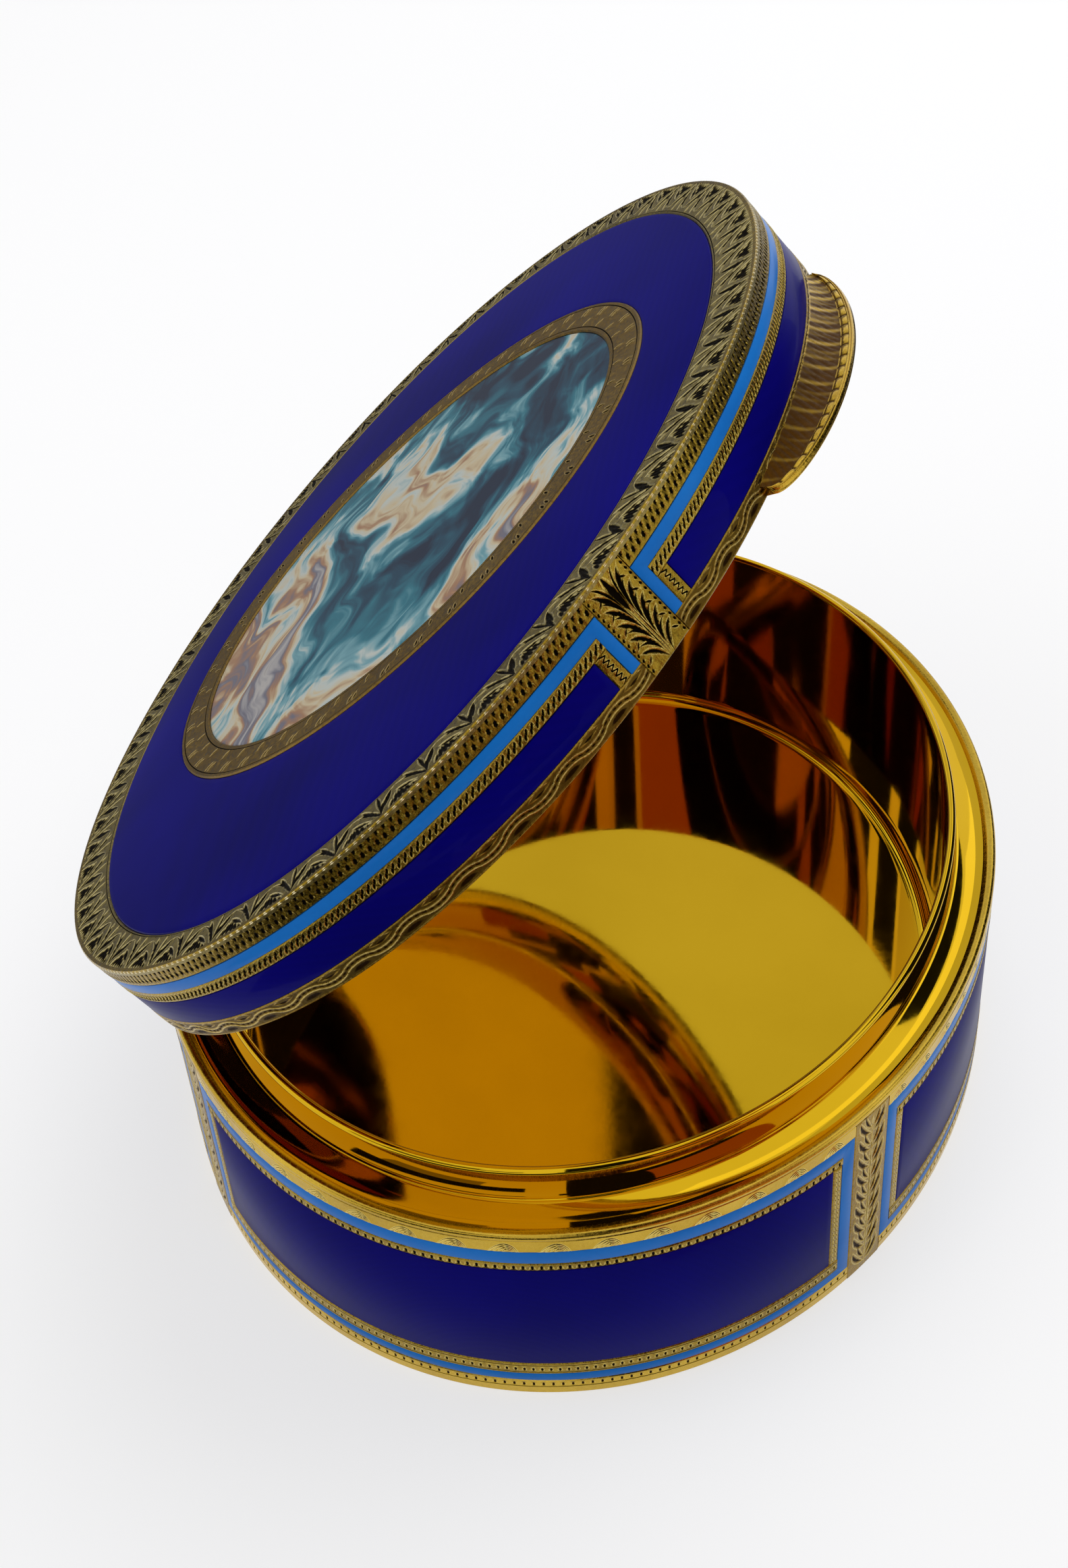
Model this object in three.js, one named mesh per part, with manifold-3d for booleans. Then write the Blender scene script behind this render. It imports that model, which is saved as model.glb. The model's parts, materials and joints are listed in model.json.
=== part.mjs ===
// An oval table box in gilt metal with blue enamel panels, shown with its lid standing open.
//
// Millimetres, +Z up. The origin is the middle of the underside. X runs along the box, the
// front with its thumbpiece faces -Y, and the hinge is at the back, +Y.
//
// Every wall follows one oval. A place on it is given by an inset, measured inwards from the
// outside of the box, by an angle round the oval and by a height above the table.

import * as THREE from 'three';
import { mergeVertices } from 'three/addons/utils/BufferGeometryUtils.js';
import Module from 'manifold-3d';

const wasm = await Module();
wasm.setup();

// The outside of the box.
const LENGTH = 120;
const WIDTH = 95;
const BODY_HEIGHT = 25;
const LID_HEIGHT = 9.7;
const PARTING_GAP = 0.3;
const LID_OPENING = 39.7 * Math.PI / 180;

// Walls, plates and the clearances between pieces.
const BAND_WALL = 1.6;
const BASE_THICKNESS = 1.2;
const LINER_WALL = 0.8;
const LINER_FLOOR = 0.8;
const LID_PLATE_THICKNESS = 1.0;
const LID_LINER_SHEET = 0.8;
const SEAT_GAP = 0.3;
const CELL_GAP = 0.15;

// The rim inside the body: a hollowed ledge, then a flange that stands up inside the lid.
const FLANGE_INSET = 4.65;
const FLANGE_WALL = 1.0;
const FLANGE_RISE = 3.9;
const LEDGE_RISE = 0.3;
const LEDGE_DIP = 0.5;
const LEDGE_THICKNESS = 1.1;
const LINER_CORNER = 1.0;

// Enamel is let into cells in the outside of the bands.
const CELL_DEPTH = 0.8;
const ENAMEL_SET_BACK = 0.05;
const ENAMEL_THICKNESS = 0.45;

// Four engraved pillars part the sides into a front, a back and two ends.
const PILLAR_ANGLE = 48.4 * Math.PI / 180;
const PILLAR_WIDTH = 5.4;

// The body's borders, from the table up: an engraved base border, a light blue line, a strip,
// the dark blue panel, a strip, a light blue line and an engraved border under the lip.
const BASE_BORDER = 2.15;
const BODY_LINE_LOWER_WIDTH = 1.15;
const BODY_LOWER_STRIP = 1.7;
const BODY_UPPER_STRIP = 1.05;
const BODY_LINE_UPPER_WIDTH = 1.75;
const RIM_BORDER = 2.2;
const BODY_LINE_SIDE_WIDTH = 1.7;
const BODY_SIDE_STRIP = 1.25;

// The lid's borders, from its lower edge up: a wavy border, the dark blue panel, a strip,
// a light blue line and a dotted border under the corner.
const WAVE_BORDER = 1.9;
const LID_UPPER_STRIP = 1.25;
const LID_LINE_WIDTH = 1.25;
const CORNER_BORDER = 2.1;
const LID_SIDE_STRIP = 1.6;

// The lid's top: an engraved border, a field of dark blue, and a round medallion in a ring.
const BORDER_AT_ENDS = 4.0;
const BORDER_AT_SIDES = 5.7;
const TOP_CELL_DEPTH = 0.6;
const RING_RADIUS = 33.5;
const RING_WIDTH = 4.3;
const RING_RISE = 0.15;

// The hinge: five knuckles on one pin, along X behind the back wall.
const KNUCKLES = 5;
const KNUCKLE_LENGTH = 7.2;
const KNUCKLE_RADIUS = 1.2;
const KNUCKLE_CLEARANCE = 0.2;
const KNUCKLE_END_GAP = 0.1;
const PIN_RADIUS = 0.55;
const PIN_CLEARANCE = 0.08;
const PIN_HEAD_RADIUS = 1.0;
const PIN_HEAD_LENGTH = 0.4;
const PIN_HEAD_CHAMFER = 0.2;
const HINGE_PROUD = 0.3;
const HINGE_RISE = 0.75;
const BEARER_PROUD = 0.3;
const BEARER_HEIGHT = 1.5;
const BEARER_BORDER = 0.8;

// The thumbpiece: a dished bow on the lid's lower front edge.
const THUMB_MIDDLE = -3.3;
const THUMB_HALF_LENGTH = 19.8;
const THUMB_PROUD = 3.1;
const THUMB_END_PROUD = 0.7;
const THUMB_TOP = 1.7;
const THUMB_END_TOP = 1.1;
const THUMB_LIP = 0.9;
const THUMB_DROOP = 2.0;

// Places across the thumbpiece, as shares of its width, and its falls, as shares of the height
// that they fall through.
const THUMB_DISH = 0.4;
const THUMB_LIP_START = 0.65;
const THUMB_DISH_FALL = 0.7;
const THUMB_LIP_FALL = 0.2;

// Faces round the whole oval, and round each hinge part.
const OVAL_STEPS = 72;
const KNUCKLE_STEPS = 20;
const PIN_STEPS = 16;
const THUMB_STEPS = 24;
const CROWN_STEPS = 4;

// A cutter runs this far past what it cuts, and an end leaves out a face that would be narrower
// than this share of a step.
const CUTTER_MARGIN = 1;
const SLIVER = 0.05;

// Places worked out from the sizes above.
const HALF_LENGTH = LENGTH / 2;
const HALF_WIDTH = WIDTH / 2;
const LID_BOTTOM = BODY_HEIGHT + PARTING_GAP;
const LID_TOP = LID_BOTTOM + LID_HEIGHT;
const LID_BAND_TOP = LID_TOP - LID_PLATE_THICKNESS - SEAT_GAP;
const BODY_LINE_TOP = BODY_HEIGHT - RIM_BORDER;
const BODY_PANEL_TOP = BODY_LINE_TOP - BODY_LINE_UPPER_WIDTH - BODY_UPPER_STRIP;
const BODY_PANEL_BOTTOM = BASE_BORDER + BODY_LINE_LOWER_WIDTH + BODY_LOWER_STRIP;
const LID_LINE_TOP = LID_TOP - CORNER_BORDER;
const LID_PANEL_TOP = LID_LINE_TOP - LID_LINE_WIDTH - LID_UPPER_STRIP;
const LID_PANEL_BOTTOM = LID_BOTTOM + WAVE_BORDER;
const HINGE_LENGTH = KNUCKLES * KNUCKLE_LENGTH;
const HINGE_Y = HALF_WIDTH + HINGE_PROUD;
const HINGE_Z = BODY_HEIGHT + HINGE_RISE;
const BEARER_Y = HALF_WIDTH + BEARER_PROUD;

const colours = {
  gilt: { color: 0xb8902f, roughness: 0.28, metalness: 1.0 },
  polished: { color: 0xd6a626, roughness: 0.08, metalness: 1.0 },
  darkBlue: { color: 0x0b0a66, roughness: 0.08, metalness: 0.1 },
  lightBlue: { color: 0x2a74b8, roughness: 0.2, metalness: 0.0 },
  painted: { color: 0x8fa3a6, roughness: 0.15, metalness: 0.0 },
};

// A point on the oval at an inset and an angle.
function onOval(inset, angle) {
  return [(HALF_LENGTH - inset) * Math.cos(angle), (HALF_WIDTH - inset) * Math.sin(angle)];
}

// The change of angle that runs a given distance along the outside at that angle.
function angleFor(distance, angle) {
  const speed = Math.hypot(HALF_LENGTH * Math.sin(angle), HALF_WIDTH * Math.cos(angle));
  return distance / speed;
}

// The angles from start to end, on the same steps that the whole oval has.
function stepsBetween(start, end) {
  const step = 2 * Math.PI / OVAL_STEPS;
  const angles = [start];
  for (let n = Math.ceil(start / step + SLIVER); n < end / step - SLIVER; n++) {
    angles.push(n * step);
  }
  angles.push(end);
  return angles;
}

function meshFrom(points, faces) {
  const geometry = new THREE.BufferGeometry();
  geometry.setAttribute('position', new THREE.Float32BufferAttribute(points.flat(), 3));
  geometry.setIndex(faces.flat());
  return geometry;
}

// Joins two loops of points with a pair of triangles for each side.
function stitch(faces, first, second, count) {
  for (let n = 0; n < count; n++) {
    const next = (n + 1) % count;
    faces.push([first + n, first + next, second + next], [first + n, second + next, second + n]);
  }
}

// A ring round the oval. Its section is a closed list of [inset, height], anticlockwise when
// the outside is on the right.
function ring(section) {
  const points = [];
  const faces = [];
  for (let n = 0; n < OVAL_STEPS; n++) {
    const angle = 2 * Math.PI * n / OVAL_STEPS;
    for (const [inset, height] of section) points.push([...onOval(inset, angle), height]);
  }
  for (let n = 0; n < OVAL_STEPS; n++) {
    const next = (n + 1) % OVAL_STEPS;
    stitch(faces, next * section.length, n * section.length, section.length);
  }
  return meshFrom(points, faces);
}

// An oval plate or cup. Its section runs from the middle of the underside, round the edge,
// to the middle of the top, as [inset, height].
function disc(section) {
  const points = [[0, 0, section[0][1]]];
  const faces = [];
  for (const [inset, height] of section) {
    for (let n = 0; n < OVAL_STEPS; n++) {
      points.push([...onOval(inset, 2 * Math.PI * n / OVAL_STEPS), height]);
    }
  }
  points.push([0, 0, section[section.length - 1][1]]);
  const top = points.length - 1;
  const lastLoop = top - OVAL_STEPS;
  for (let n = 0; n < OVAL_STEPS; n++) {
    const next = (n + 1) % OVAL_STEPS;
    faces.push([0, 1 + next, 1 + n], [top, lastLoop + n, lastLoop + next]);
  }
  for (let loop = 0; loop < section.length - 1; loop++) {
    stitch(faces, 1 + loop * OVAL_STEPS, 1 + (loop + 1) * OVAL_STEPS, OVAL_STEPS);
  }
  return meshFrom(points, faces);
}

// A block that follows the wall from one angle to another.
function wallBlock(startAngle, endAngle, outerInset, innerInset, bottom, top) {
  const points = [];
  const faces = [];
  const angles = stepsBetween(startAngle, endAngle);
  for (const angle of angles) {
    const [outX, outY] = onOval(outerInset, angle);
    const [inX, inY] = onOval(innerInset, angle);
    points.push([outX, outY, bottom], [outX, outY, top], [inX, inY, top], [inX, inY, bottom]);
  }
  for (let n = 0; n < angles.length - 1; n++) stitch(faces, (n + 1) * 4, n * 4, 4);
  const last = (angles.length - 1) * 4;
  faces.push([0, 1, 2], [0, 2, 3], [last, last + 2, last + 1], [last, last + 3, last + 2]);
  return meshFrom(points, faces);
}

// A rod along the hinge's line.
function rod(radius, length, steps, x) {
  return new THREE.CylinderGeometry(radius, radius, length, steps)
    .rotateZ(Math.PI / 2).translate(x, HINGE_Y, HINGE_Z);
}

function solid(geometry) {
  const bare = geometry.clone();
  bare.deleteAttribute('normal');
  bare.deleteAttribute('uv');
  const merged = mergeVertices(bare, 1e-5);
  return new wasm.Manifold(new wasm.Mesh({
    numProp: 3,
    vertProperties: new Float32Array(merged.attributes.position.array),
    triVerts: new Uint32Array(merged.index.array),
  }));
}

function geometryOf(manifold) {
  const mesh = manifold.getMesh();
  const geometry = new THREE.BufferGeometry();
  geometry.setAttribute('position', new THREE.BufferAttribute(mesh.vertProperties, 3));
  geometry.setIndex(new THREE.BufferAttribute(mesh.triVerts, 1));
  return geometry;
}

function cut(blank, cutters) {
  return cutters.reduce((left, cutter) => left.subtract(cutter), blank);
}

function piece(group, name, geometry, look) {
  const mesh = new THREE.Mesh(geometry, new THREE.MeshStandardMaterial(look));
  mesh.name = name;
  group.add(mesh);
}

// The four bays between the pillars, as the angles of the pillars' edges.
const pillarHalf = angleFor(PILLAR_WIDTH / 2, PILLAR_ANGLE);
const endReach = PILLAR_ANGLE - pillarHalf;
const sideReach = Math.PI / 2 - PILLAR_ANGLE - pillarHalf;
const bays = [
  { name: 'right', middle: 0, reach: endReach },
  { name: 'back', middle: Math.PI / 2, reach: sideReach },
  { name: 'left', middle: Math.PI, reach: endReach },
  { name: 'front', middle: 1.5 * Math.PI, reach: sideReach },
];

// A block in one bay, drawn in from the pillars by a side distance, or the cell that holds it.
function bayBlock(bay, side, bottom, top, isCell) {
  const gap = isCell ? 0 : CELL_GAP;
  const reach = bay.reach - angleFor(side + gap, PILLAR_ANGLE);
  const outer = isCell ? -CUTTER_MARGIN : ENAMEL_SET_BACK;
  const inner = isCell ? CELL_DEPTH : ENAMEL_SET_BACK + ENAMEL_THICKNESS;
  return solid(wallBlock(bay.middle - reach, bay.middle + reach, outer, inner,
    bottom + gap, top - gap));
}

// A frame line is a bay's block less a smaller one, a given distance in from the pillars.
function frameLine(bay, side, bottom, top, insideBottom, insideTop, isCell) {
  const gap = isCell ? 0 : CELL_GAP;
  const reach = bay.reach - angleFor(side - gap, PILLAR_ANGLE);
  return bayBlock(bay, 0, bottom, top, isCell).subtract(solid(wallBlock(
    bay.middle - reach, bay.middle + reach, -2 * CUTTER_MARGIN, CELL_DEPTH + CUTTER_MARGIN,
    insideBottom - gap, insideTop + gap)));
}

function bodyLine(bay, isCell) {
  return frameLine(bay, BODY_LINE_SIDE_WIDTH, BASE_BORDER, BODY_LINE_TOP,
    BASE_BORDER + BODY_LINE_LOWER_WIDTH, BODY_LINE_TOP - BODY_LINE_UPPER_WIDTH, isCell);
}

function bodyPanel(bay, isCell) {
  const side = BODY_LINE_SIDE_WIDTH + BODY_SIDE_STRIP;
  return bayBlock(bay, side, BODY_PANEL_BOTTOM, BODY_PANEL_TOP, isCell);
}

// The lid's frame line has no lower run: its legs end above the wavy border.
function lidLine(bay, isCell) {
  return frameLine(bay, LID_LINE_WIDTH, LID_PANEL_BOTTOM, LID_LINE_TOP,
    LID_BOTTOM, LID_LINE_TOP - LID_LINE_WIDTH, isCell);
}

// The panel at the back steps up over the hinge.
function lidPanel(bay, isCell) {
  const side = LID_LINE_WIDTH + LID_SIDE_STRIP;
  const block = bayBlock(bay, side, LID_PANEL_BOTTOM, LID_PANEL_TOP, isCell);
  if (bay.name !== 'back') return block;
  const margin = SEAT_GAP + BEARER_BORDER + (isCell ? 0 : CELL_GAP);
  const overHinge = new THREE.BoxGeometry(HINGE_LENGTH + 2 * margin, HALF_WIDTH,
    2 * (BEARER_HEIGHT + margin)).translate(0, HALF_WIDTH, LID_BOTTOM);
  return block.subtract(solid(overHinge));
}

// A strip that fills the crescent between the curved wall and the straight hinge.
function bearer(bottom, top, gap) {
  const half = HINGE_LENGTH / 2 + gap;
  const inset = BAND_WALL + gap;
  const reach = Math.acos(half / (HALF_LENGTH - inset));
  const outline = new THREE.Shape();
  outline.moveTo(-half, BEARER_Y + gap);
  for (const angle of stepsBetween(reach, Math.PI - reach).reverse()) {
    outline.lineTo(...onOval(inset, angle));
  }
  outline.lineTo(half, BEARER_Y + gap);
  outline.closePath();
  return solid(new THREE.ExtrudeGeometry(outline, { depth: top - bottom, bevelEnabled: false })
    .translate(0, 0, bottom));
}

function knuckleMiddle(number) {
  return -HINGE_LENGTH / 2 + (number + 0.5) * KNUCKLE_LENGTH;
}

// Knuckles 0, 2 and 4 belong to the body, 1 and 3 to the lid.
function hingeLeaf(isBody) {
  const bottom = isBody ? BODY_HEIGHT - BEARER_HEIGHT : LID_BOTTOM;
  let leaf = bearer(bottom, bottom + BEARER_HEIGHT, 0);
  for (let number = 0; number < KNUCKLES; number++) {
    const own = (number % 2 === 0) === isBody;
    const x = knuckleMiddle(number);
    if (own) {
      leaf = leaf.add(solid(rod(KNUCKLE_RADIUS, KNUCKLE_LENGTH - 2 * KNUCKLE_END_GAP,
        KNUCKLE_STEPS, x)));
    } else {
      leaf = leaf.subtract(solid(rod(KNUCKLE_RADIUS + KNUCKLE_CLEARANCE,
        KNUCKLE_LENGTH + 2 * KNUCKLE_END_GAP, KNUCKLE_STEPS, x)));
    }
  }
  return leaf.subtract(solid(rod(PIN_RADIUS + PIN_CLEARANCE,
    HINGE_LENGTH + 2 * CUTTER_MARGIN, PIN_STEPS, 0)));
}

// The room that a band leaves for the knuckles and for its own leaf's bearer.
function hingeRoom(isBody) {
  const bottom = isBody ? BODY_HEIGHT - BEARER_HEIGHT - SEAT_GAP : LID_BOTTOM - CUTTER_MARGIN;
  const top = isBody ? BODY_HEIGHT + CUTTER_MARGIN : LID_BOTTOM + BEARER_HEIGHT + SEAT_GAP;
  return bearer(bottom, top, SEAT_GAP).add(solid(rod(KNUCKLE_RADIUS + KNUCKLE_CLEARANCE,
    HINGE_LENGTH + 2 * SEAT_GAP, KNUCKLE_STEPS, 0)));
}

function hingePin() {
  const half = HINGE_LENGTH / 2;
  const end = half + PIN_HEAD_LENGTH;
  const head = [
    [PIN_RADIUS, half], [PIN_HEAD_RADIUS, half], [PIN_HEAD_RADIUS, end - PIN_HEAD_CHAMFER],
    [PIN_HEAD_RADIUS - PIN_HEAD_CHAMFER, end], [0, end],
  ];
  const farHead = head.map(([radius, along]) => [radius, -along]).reverse();
  const profile = [...farHead, ...head].map(([radius, along]) => new THREE.Vector2(radius, along));
  return new THREE.LatheGeometry(profile, PIN_STEPS).rotateZ(Math.PI / 2)
    .translate(0, HINGE_Y, HINGE_Z);
}

// The thumbpiece grows out of the wall and droops towards its middle.
function thumbpiece() {
  const points = [];
  const faces = [];
  for (let n = 0; n <= THUMB_STEPS; n++) {
    const turn = Math.PI * n / THUMB_STEPS;
    const swell = Math.sin(turn);
    const x = THUMB_MIDDLE - THUMB_HALF_LENGTH * Math.cos(turn);
    const proud = THUMB_END_PROUD + (THUMB_PROUD - THUMB_END_PROUD) * swell;
    const width = proud - SEAT_GAP;
    const top = LID_BOTTOM + THUMB_END_TOP + (THUMB_TOP - THUMB_END_TOP) * swell;
    const lipBottom = LID_BOTTOM - THUMB_DROOP * swell;
    const lipTop = lipBottom + THUMB_LIP;
    const section = [
      [SEAT_GAP, LID_BOTTOM], [SEAT_GAP, top],
      [SEAT_GAP + THUMB_DISH * width, top - THUMB_DISH_FALL * (top - lipTop)],
      [SEAT_GAP + THUMB_LIP_START * width, lipTop], [proud, lipTop - THUMB_LIP_FALL * THUMB_LIP],
      [proud, lipBottom],
    ];
    for (const [out, height] of section) {
      points.push([...onOval(-out, 1.5 * Math.PI + Math.asin(x / HALF_LENGTH)), height]);
    }
  }
  const sides = 6;
  for (let n = 0; n < THUMB_STEPS; n++) stitch(faces, n * sides, (n + 1) * sides, sides);
  const last = THUMB_STEPS * sides;
  for (let corner = 1; corner < sides - 1; corner++) {
    faces.push([0, corner + 1, corner], [last, last + corner, last + corner + 1]);
  }
  return meshFrom(points, faces);
}

// Flat ovals and circles for the lid's top.
function ovalSlab(halfLength, halfWidth, bottom, top) {
  const outline = new THREE.Shape();
  outline.absellipse(0, 0, halfLength, halfWidth, 0, 2 * Math.PI, false, 0);
  return solid(new THREE.ExtrudeGeometry(outline, {
    depth: top - bottom, bevelEnabled: false, curveSegments: OVAL_STEPS,
  }).translate(0, 0, bottom));
}

const box = new THREE.Group();

// The body, from the table up.
const baseInset = BAND_WALL + SEAT_GAP;
piece(box, 'base_plate', disc([
  [baseInset, 0], [baseInset, BASE_THICKNESS],
]), colours.gilt);

const bodyCells = bays.flatMap((bay) => [bodyLine(bay, true), bodyPanel(bay, true)]);
const bodyBlank = solid(ring([
  [0, 0], [0, BODY_HEIGHT], [BAND_WALL, BODY_HEIGHT], [BAND_WALL, 0],
]));
piece(box, 'body_band', geometryOf(cut(bodyBlank, [...bodyCells, hingeRoom(true)])), colours.gilt);

const linerBottom = BASE_THICKNESS + SEAT_GAP;
const linerFloor = linerBottom + LINER_FLOOR;
const linerInside = FLANGE_INSET + FLANGE_WALL;
const linerOutside = linerInside - LINER_WALL;
const ledgeInner = BODY_HEIGHT + LEDGE_RISE;
const bezelBottom = ledgeInner - LEDGE_DIP - LEDGE_THICKNESS;
const linerTop = bezelBottom - SEAT_GAP;
piece(box, 'body_liner', disc([
  [linerOutside + LINER_CORNER, linerBottom], [linerOutside, linerBottom + LINER_CORNER],
  [linerOutside, linerTop], [linerInside, linerTop],
  [linerInside, linerFloor + LINER_CORNER], [linerInside + LINER_CORNER, linerFloor],
]), colours.polished);

const flangeTop = BODY_HEIGHT + FLANGE_RISE;
const crownRadius = FLANGE_WALL / 2;
const crown = [];
for (let n = 0; n <= CROWN_STEPS; n++) {
  const turn = Math.PI * n / CROWN_STEPS;
  crown.push([FLANGE_INSET + crownRadius * (1 - Math.cos(turn)),
    flangeTop - crownRadius * (1 - Math.sin(turn))]);
}
const ledgeOuter = BAND_WALL + SEAT_GAP;
const ledgeMiddle = (ledgeOuter + FLANGE_INSET) / 2;
piece(box, 'rim_bezel', ring([
  [ledgeOuter, bezelBottom], [ledgeOuter, BODY_HEIGHT - LEDGE_DIP / 2],
  [ledgeMiddle, BODY_HEIGHT - LEDGE_DIP], [FLANGE_INSET, ledgeInner], ...crown,
  [linerInside, bezelBottom],
]), colours.polished);

for (const bay of bays) {
  piece(box, `body_line_${bay.name}`, geometryOf(bodyLine(bay, false)), colours.lightBlue);
  piece(box, `body_panel_${bay.name}`, geometryOf(bodyPanel(bay, false)), colours.darkBlue);
}
piece(box, 'body_hinge_leaf', geometryOf(hingeLeaf(true)), colours.gilt);
piece(box, 'hinge_pin', hingePin(), colours.gilt);

// The lid is drawn closed, then turned open about the hinge pin.
const lidPivot = new THREE.Group();
lidPivot.position.set(0, HINGE_Y, HINGE_Z);
lidPivot.rotation.x = -LID_OPENING;
const lid = new THREE.Group();
lid.position.set(0, -HINGE_Y, -HINGE_Z);
lidPivot.add(lid);
box.add(lidPivot);

const lidCells = bays.flatMap((bay) => [lidLine(bay, true), lidPanel(bay, true)]);
const lidBlank = solid(ring([
  [0, LID_BOTTOM], [0, LID_BAND_TOP], [BAND_WALL, LID_BAND_TOP], [BAND_WALL, LID_BOTTOM],
]));
piece(lid, 'lid_band', geometryOf(cut(lidBlank, [...lidCells, hingeRoom(false)])), colours.gilt);

const lidLinerInset = BAND_WALL + SEAT_GAP;
const lidLinerInside = lidLinerInset + LID_LINER_SHEET;
const ceiling = LID_BAND_TOP - LID_LINER_SHEET;
piece(lid, 'lid_liner', disc([
  [lidLinerInside, ceiling], [lidLinerInside, LID_BOTTOM], [lidLinerInset, LID_BOTTOM],
  [lidLinerInset, LID_BAND_TOP],
]), colours.polished);

const fieldLength = HALF_LENGTH - BORDER_AT_ENDS;
const fieldWidth = HALF_WIDTH - BORDER_AT_SIDES;
const plateBottom = LID_TOP - LID_PLATE_THICKNESS;
const cellFloor = LID_TOP - TOP_CELL_DEPTH;
const plate = ovalSlab(HALF_LENGTH, HALF_WIDTH, plateBottom, LID_TOP)
  .subtract(ovalSlab(fieldLength, fieldWidth, cellFloor, LID_TOP + CUTTER_MARGIN));
piece(lid, 'lid_plate', geometryOf(plate), colours.gilt);

const enamelBottom = cellFloor + SEAT_GAP / 2;
const ringHole = RING_RADIUS + CELL_GAP;
const field = ovalSlab(fieldLength - CELL_GAP, fieldWidth - CELL_GAP, enamelBottom, LID_TOP)
  .subtract(ovalSlab(ringHole, ringHole, cellFloor, LID_TOP + CUTTER_MARGIN));
piece(lid, 'lid_enamel', geometryOf(field), colours.darkBlue);

const ringInside = RING_RADIUS - RING_WIDTH;
const bezelRing = ovalSlab(RING_RADIUS, RING_RADIUS, enamelBottom, LID_TOP + RING_RISE)
  .subtract(ovalSlab(ringInside, ringInside, cellFloor, LID_TOP + CUTTER_MARGIN));
piece(lid, 'medallion_ring', geometryOf(bezelRing), colours.gilt);

const plaqueRadius = ringInside - CELL_GAP;
piece(lid, 'medallion', geometryOf(
  ovalSlab(plaqueRadius, plaqueRadius, enamelBottom, LID_TOP)), colours.painted);

for (const bay of bays) {
  piece(lid, `lid_line_${bay.name}`, geometryOf(lidLine(bay, false)), colours.lightBlue);
  piece(lid, `lid_panel_${bay.name}`, geometryOf(lidPanel(bay, false)), colours.darkBlue);
}
piece(lid, 'thumbpiece', thumbpiece(), colours.gilt);
piece(lid, 'lid_hinge_leaf', geometryOf(hingeLeaf(false)), colours.gilt);

export default box;
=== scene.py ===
# %% [markdown]
# # An engraved table box
# The real box is made of gilt metal. Its walls are sheet bent to an oval, its borders are cut by
# hand with a graver, and its fields are glass enamel fused into shallow cells. The lid stands
# open on a hinge at the back.
#
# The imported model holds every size, so the lesson starts by loading it. It is the fixed frame that
# all the looks are built around, in metres. The names below turn the main sizes into millimetres,
# because a box maker thinks in them.

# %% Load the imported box
import json
from math import asin, cos, degrees, hypot, pi, radians, sin, sqrt

import bmesh
import bpy
import numpy as np
from mathutils import Matrix, Vector
from mathutils.geometry import delaunay_2d_cdt


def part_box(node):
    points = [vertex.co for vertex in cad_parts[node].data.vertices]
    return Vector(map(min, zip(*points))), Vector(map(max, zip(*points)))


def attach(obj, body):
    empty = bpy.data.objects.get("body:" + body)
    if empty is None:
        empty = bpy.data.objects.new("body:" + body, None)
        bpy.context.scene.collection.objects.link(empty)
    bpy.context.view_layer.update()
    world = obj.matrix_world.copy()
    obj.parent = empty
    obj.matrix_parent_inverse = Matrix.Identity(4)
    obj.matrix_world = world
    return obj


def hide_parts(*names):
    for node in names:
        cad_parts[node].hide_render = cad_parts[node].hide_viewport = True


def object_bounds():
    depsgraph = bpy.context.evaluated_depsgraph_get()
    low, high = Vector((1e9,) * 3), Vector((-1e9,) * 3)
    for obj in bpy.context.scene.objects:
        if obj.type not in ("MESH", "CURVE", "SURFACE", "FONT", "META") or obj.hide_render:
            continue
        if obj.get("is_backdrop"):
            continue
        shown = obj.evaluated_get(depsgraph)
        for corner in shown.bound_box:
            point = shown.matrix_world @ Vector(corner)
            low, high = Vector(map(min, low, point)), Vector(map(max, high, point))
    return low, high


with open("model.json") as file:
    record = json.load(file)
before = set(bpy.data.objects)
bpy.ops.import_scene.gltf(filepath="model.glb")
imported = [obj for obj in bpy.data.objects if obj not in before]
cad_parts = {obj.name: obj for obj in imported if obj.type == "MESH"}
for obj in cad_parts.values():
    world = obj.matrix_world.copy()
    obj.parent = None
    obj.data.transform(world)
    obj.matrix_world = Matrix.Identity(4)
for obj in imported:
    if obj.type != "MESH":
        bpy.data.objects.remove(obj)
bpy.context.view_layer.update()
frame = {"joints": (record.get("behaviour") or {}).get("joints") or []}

# %% [markdown]
# ## Sizes
# The oval, the body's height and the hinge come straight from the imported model. The borders'
# heights are the maker's own numbers, from the table up, and the rest is worked out from them.

# %% Sizes in millimetres
MM = 0.001
HALF_LENGTH, HALF_WIDTH, BODY_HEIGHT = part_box("body_band")[1] / MM
hinge_joint = frame["joints"][0]
HINGE = Vector(hinge_joint["pos_m"]) / MM
LID_OPENING = radians(-hinge_joint["range_deg"][0])

LID_BOTTOM = BODY_HEIGHT + 0.3
LID_TOP = LID_BOTTOM + 9.7
BAND_WALL, CORE_INSET = 1.6, 0.55

BASE_BORDER, LOWER_LINE, LOWER_STRIP = 2.15, 1.15, 1.7
UPPER_STRIP, UPPER_LINE, RIM_BORDER = 1.05, 1.75, 2.2
SIDE_LINE, SIDE_STRIP = 1.7, 1.25
LIP_HEIGHT = 0.65

WAVE_BORDER, LID_STRIP, LID_LINE, CORNER_BORDER = 1.9, 1.25, 1.25, 2.1
LID_SIDE_STRIP = 1.6

PILLAR_ANGLE, PILLAR_WIDTH = radians(48.4), 5.4

BORDER_AT_ENDS, BORDER_AT_SIDES = 4.0, 5.7
RING_RADIUS, RING_WIDTH = 33.5, 4.3
LID_DOME = 0.4

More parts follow.
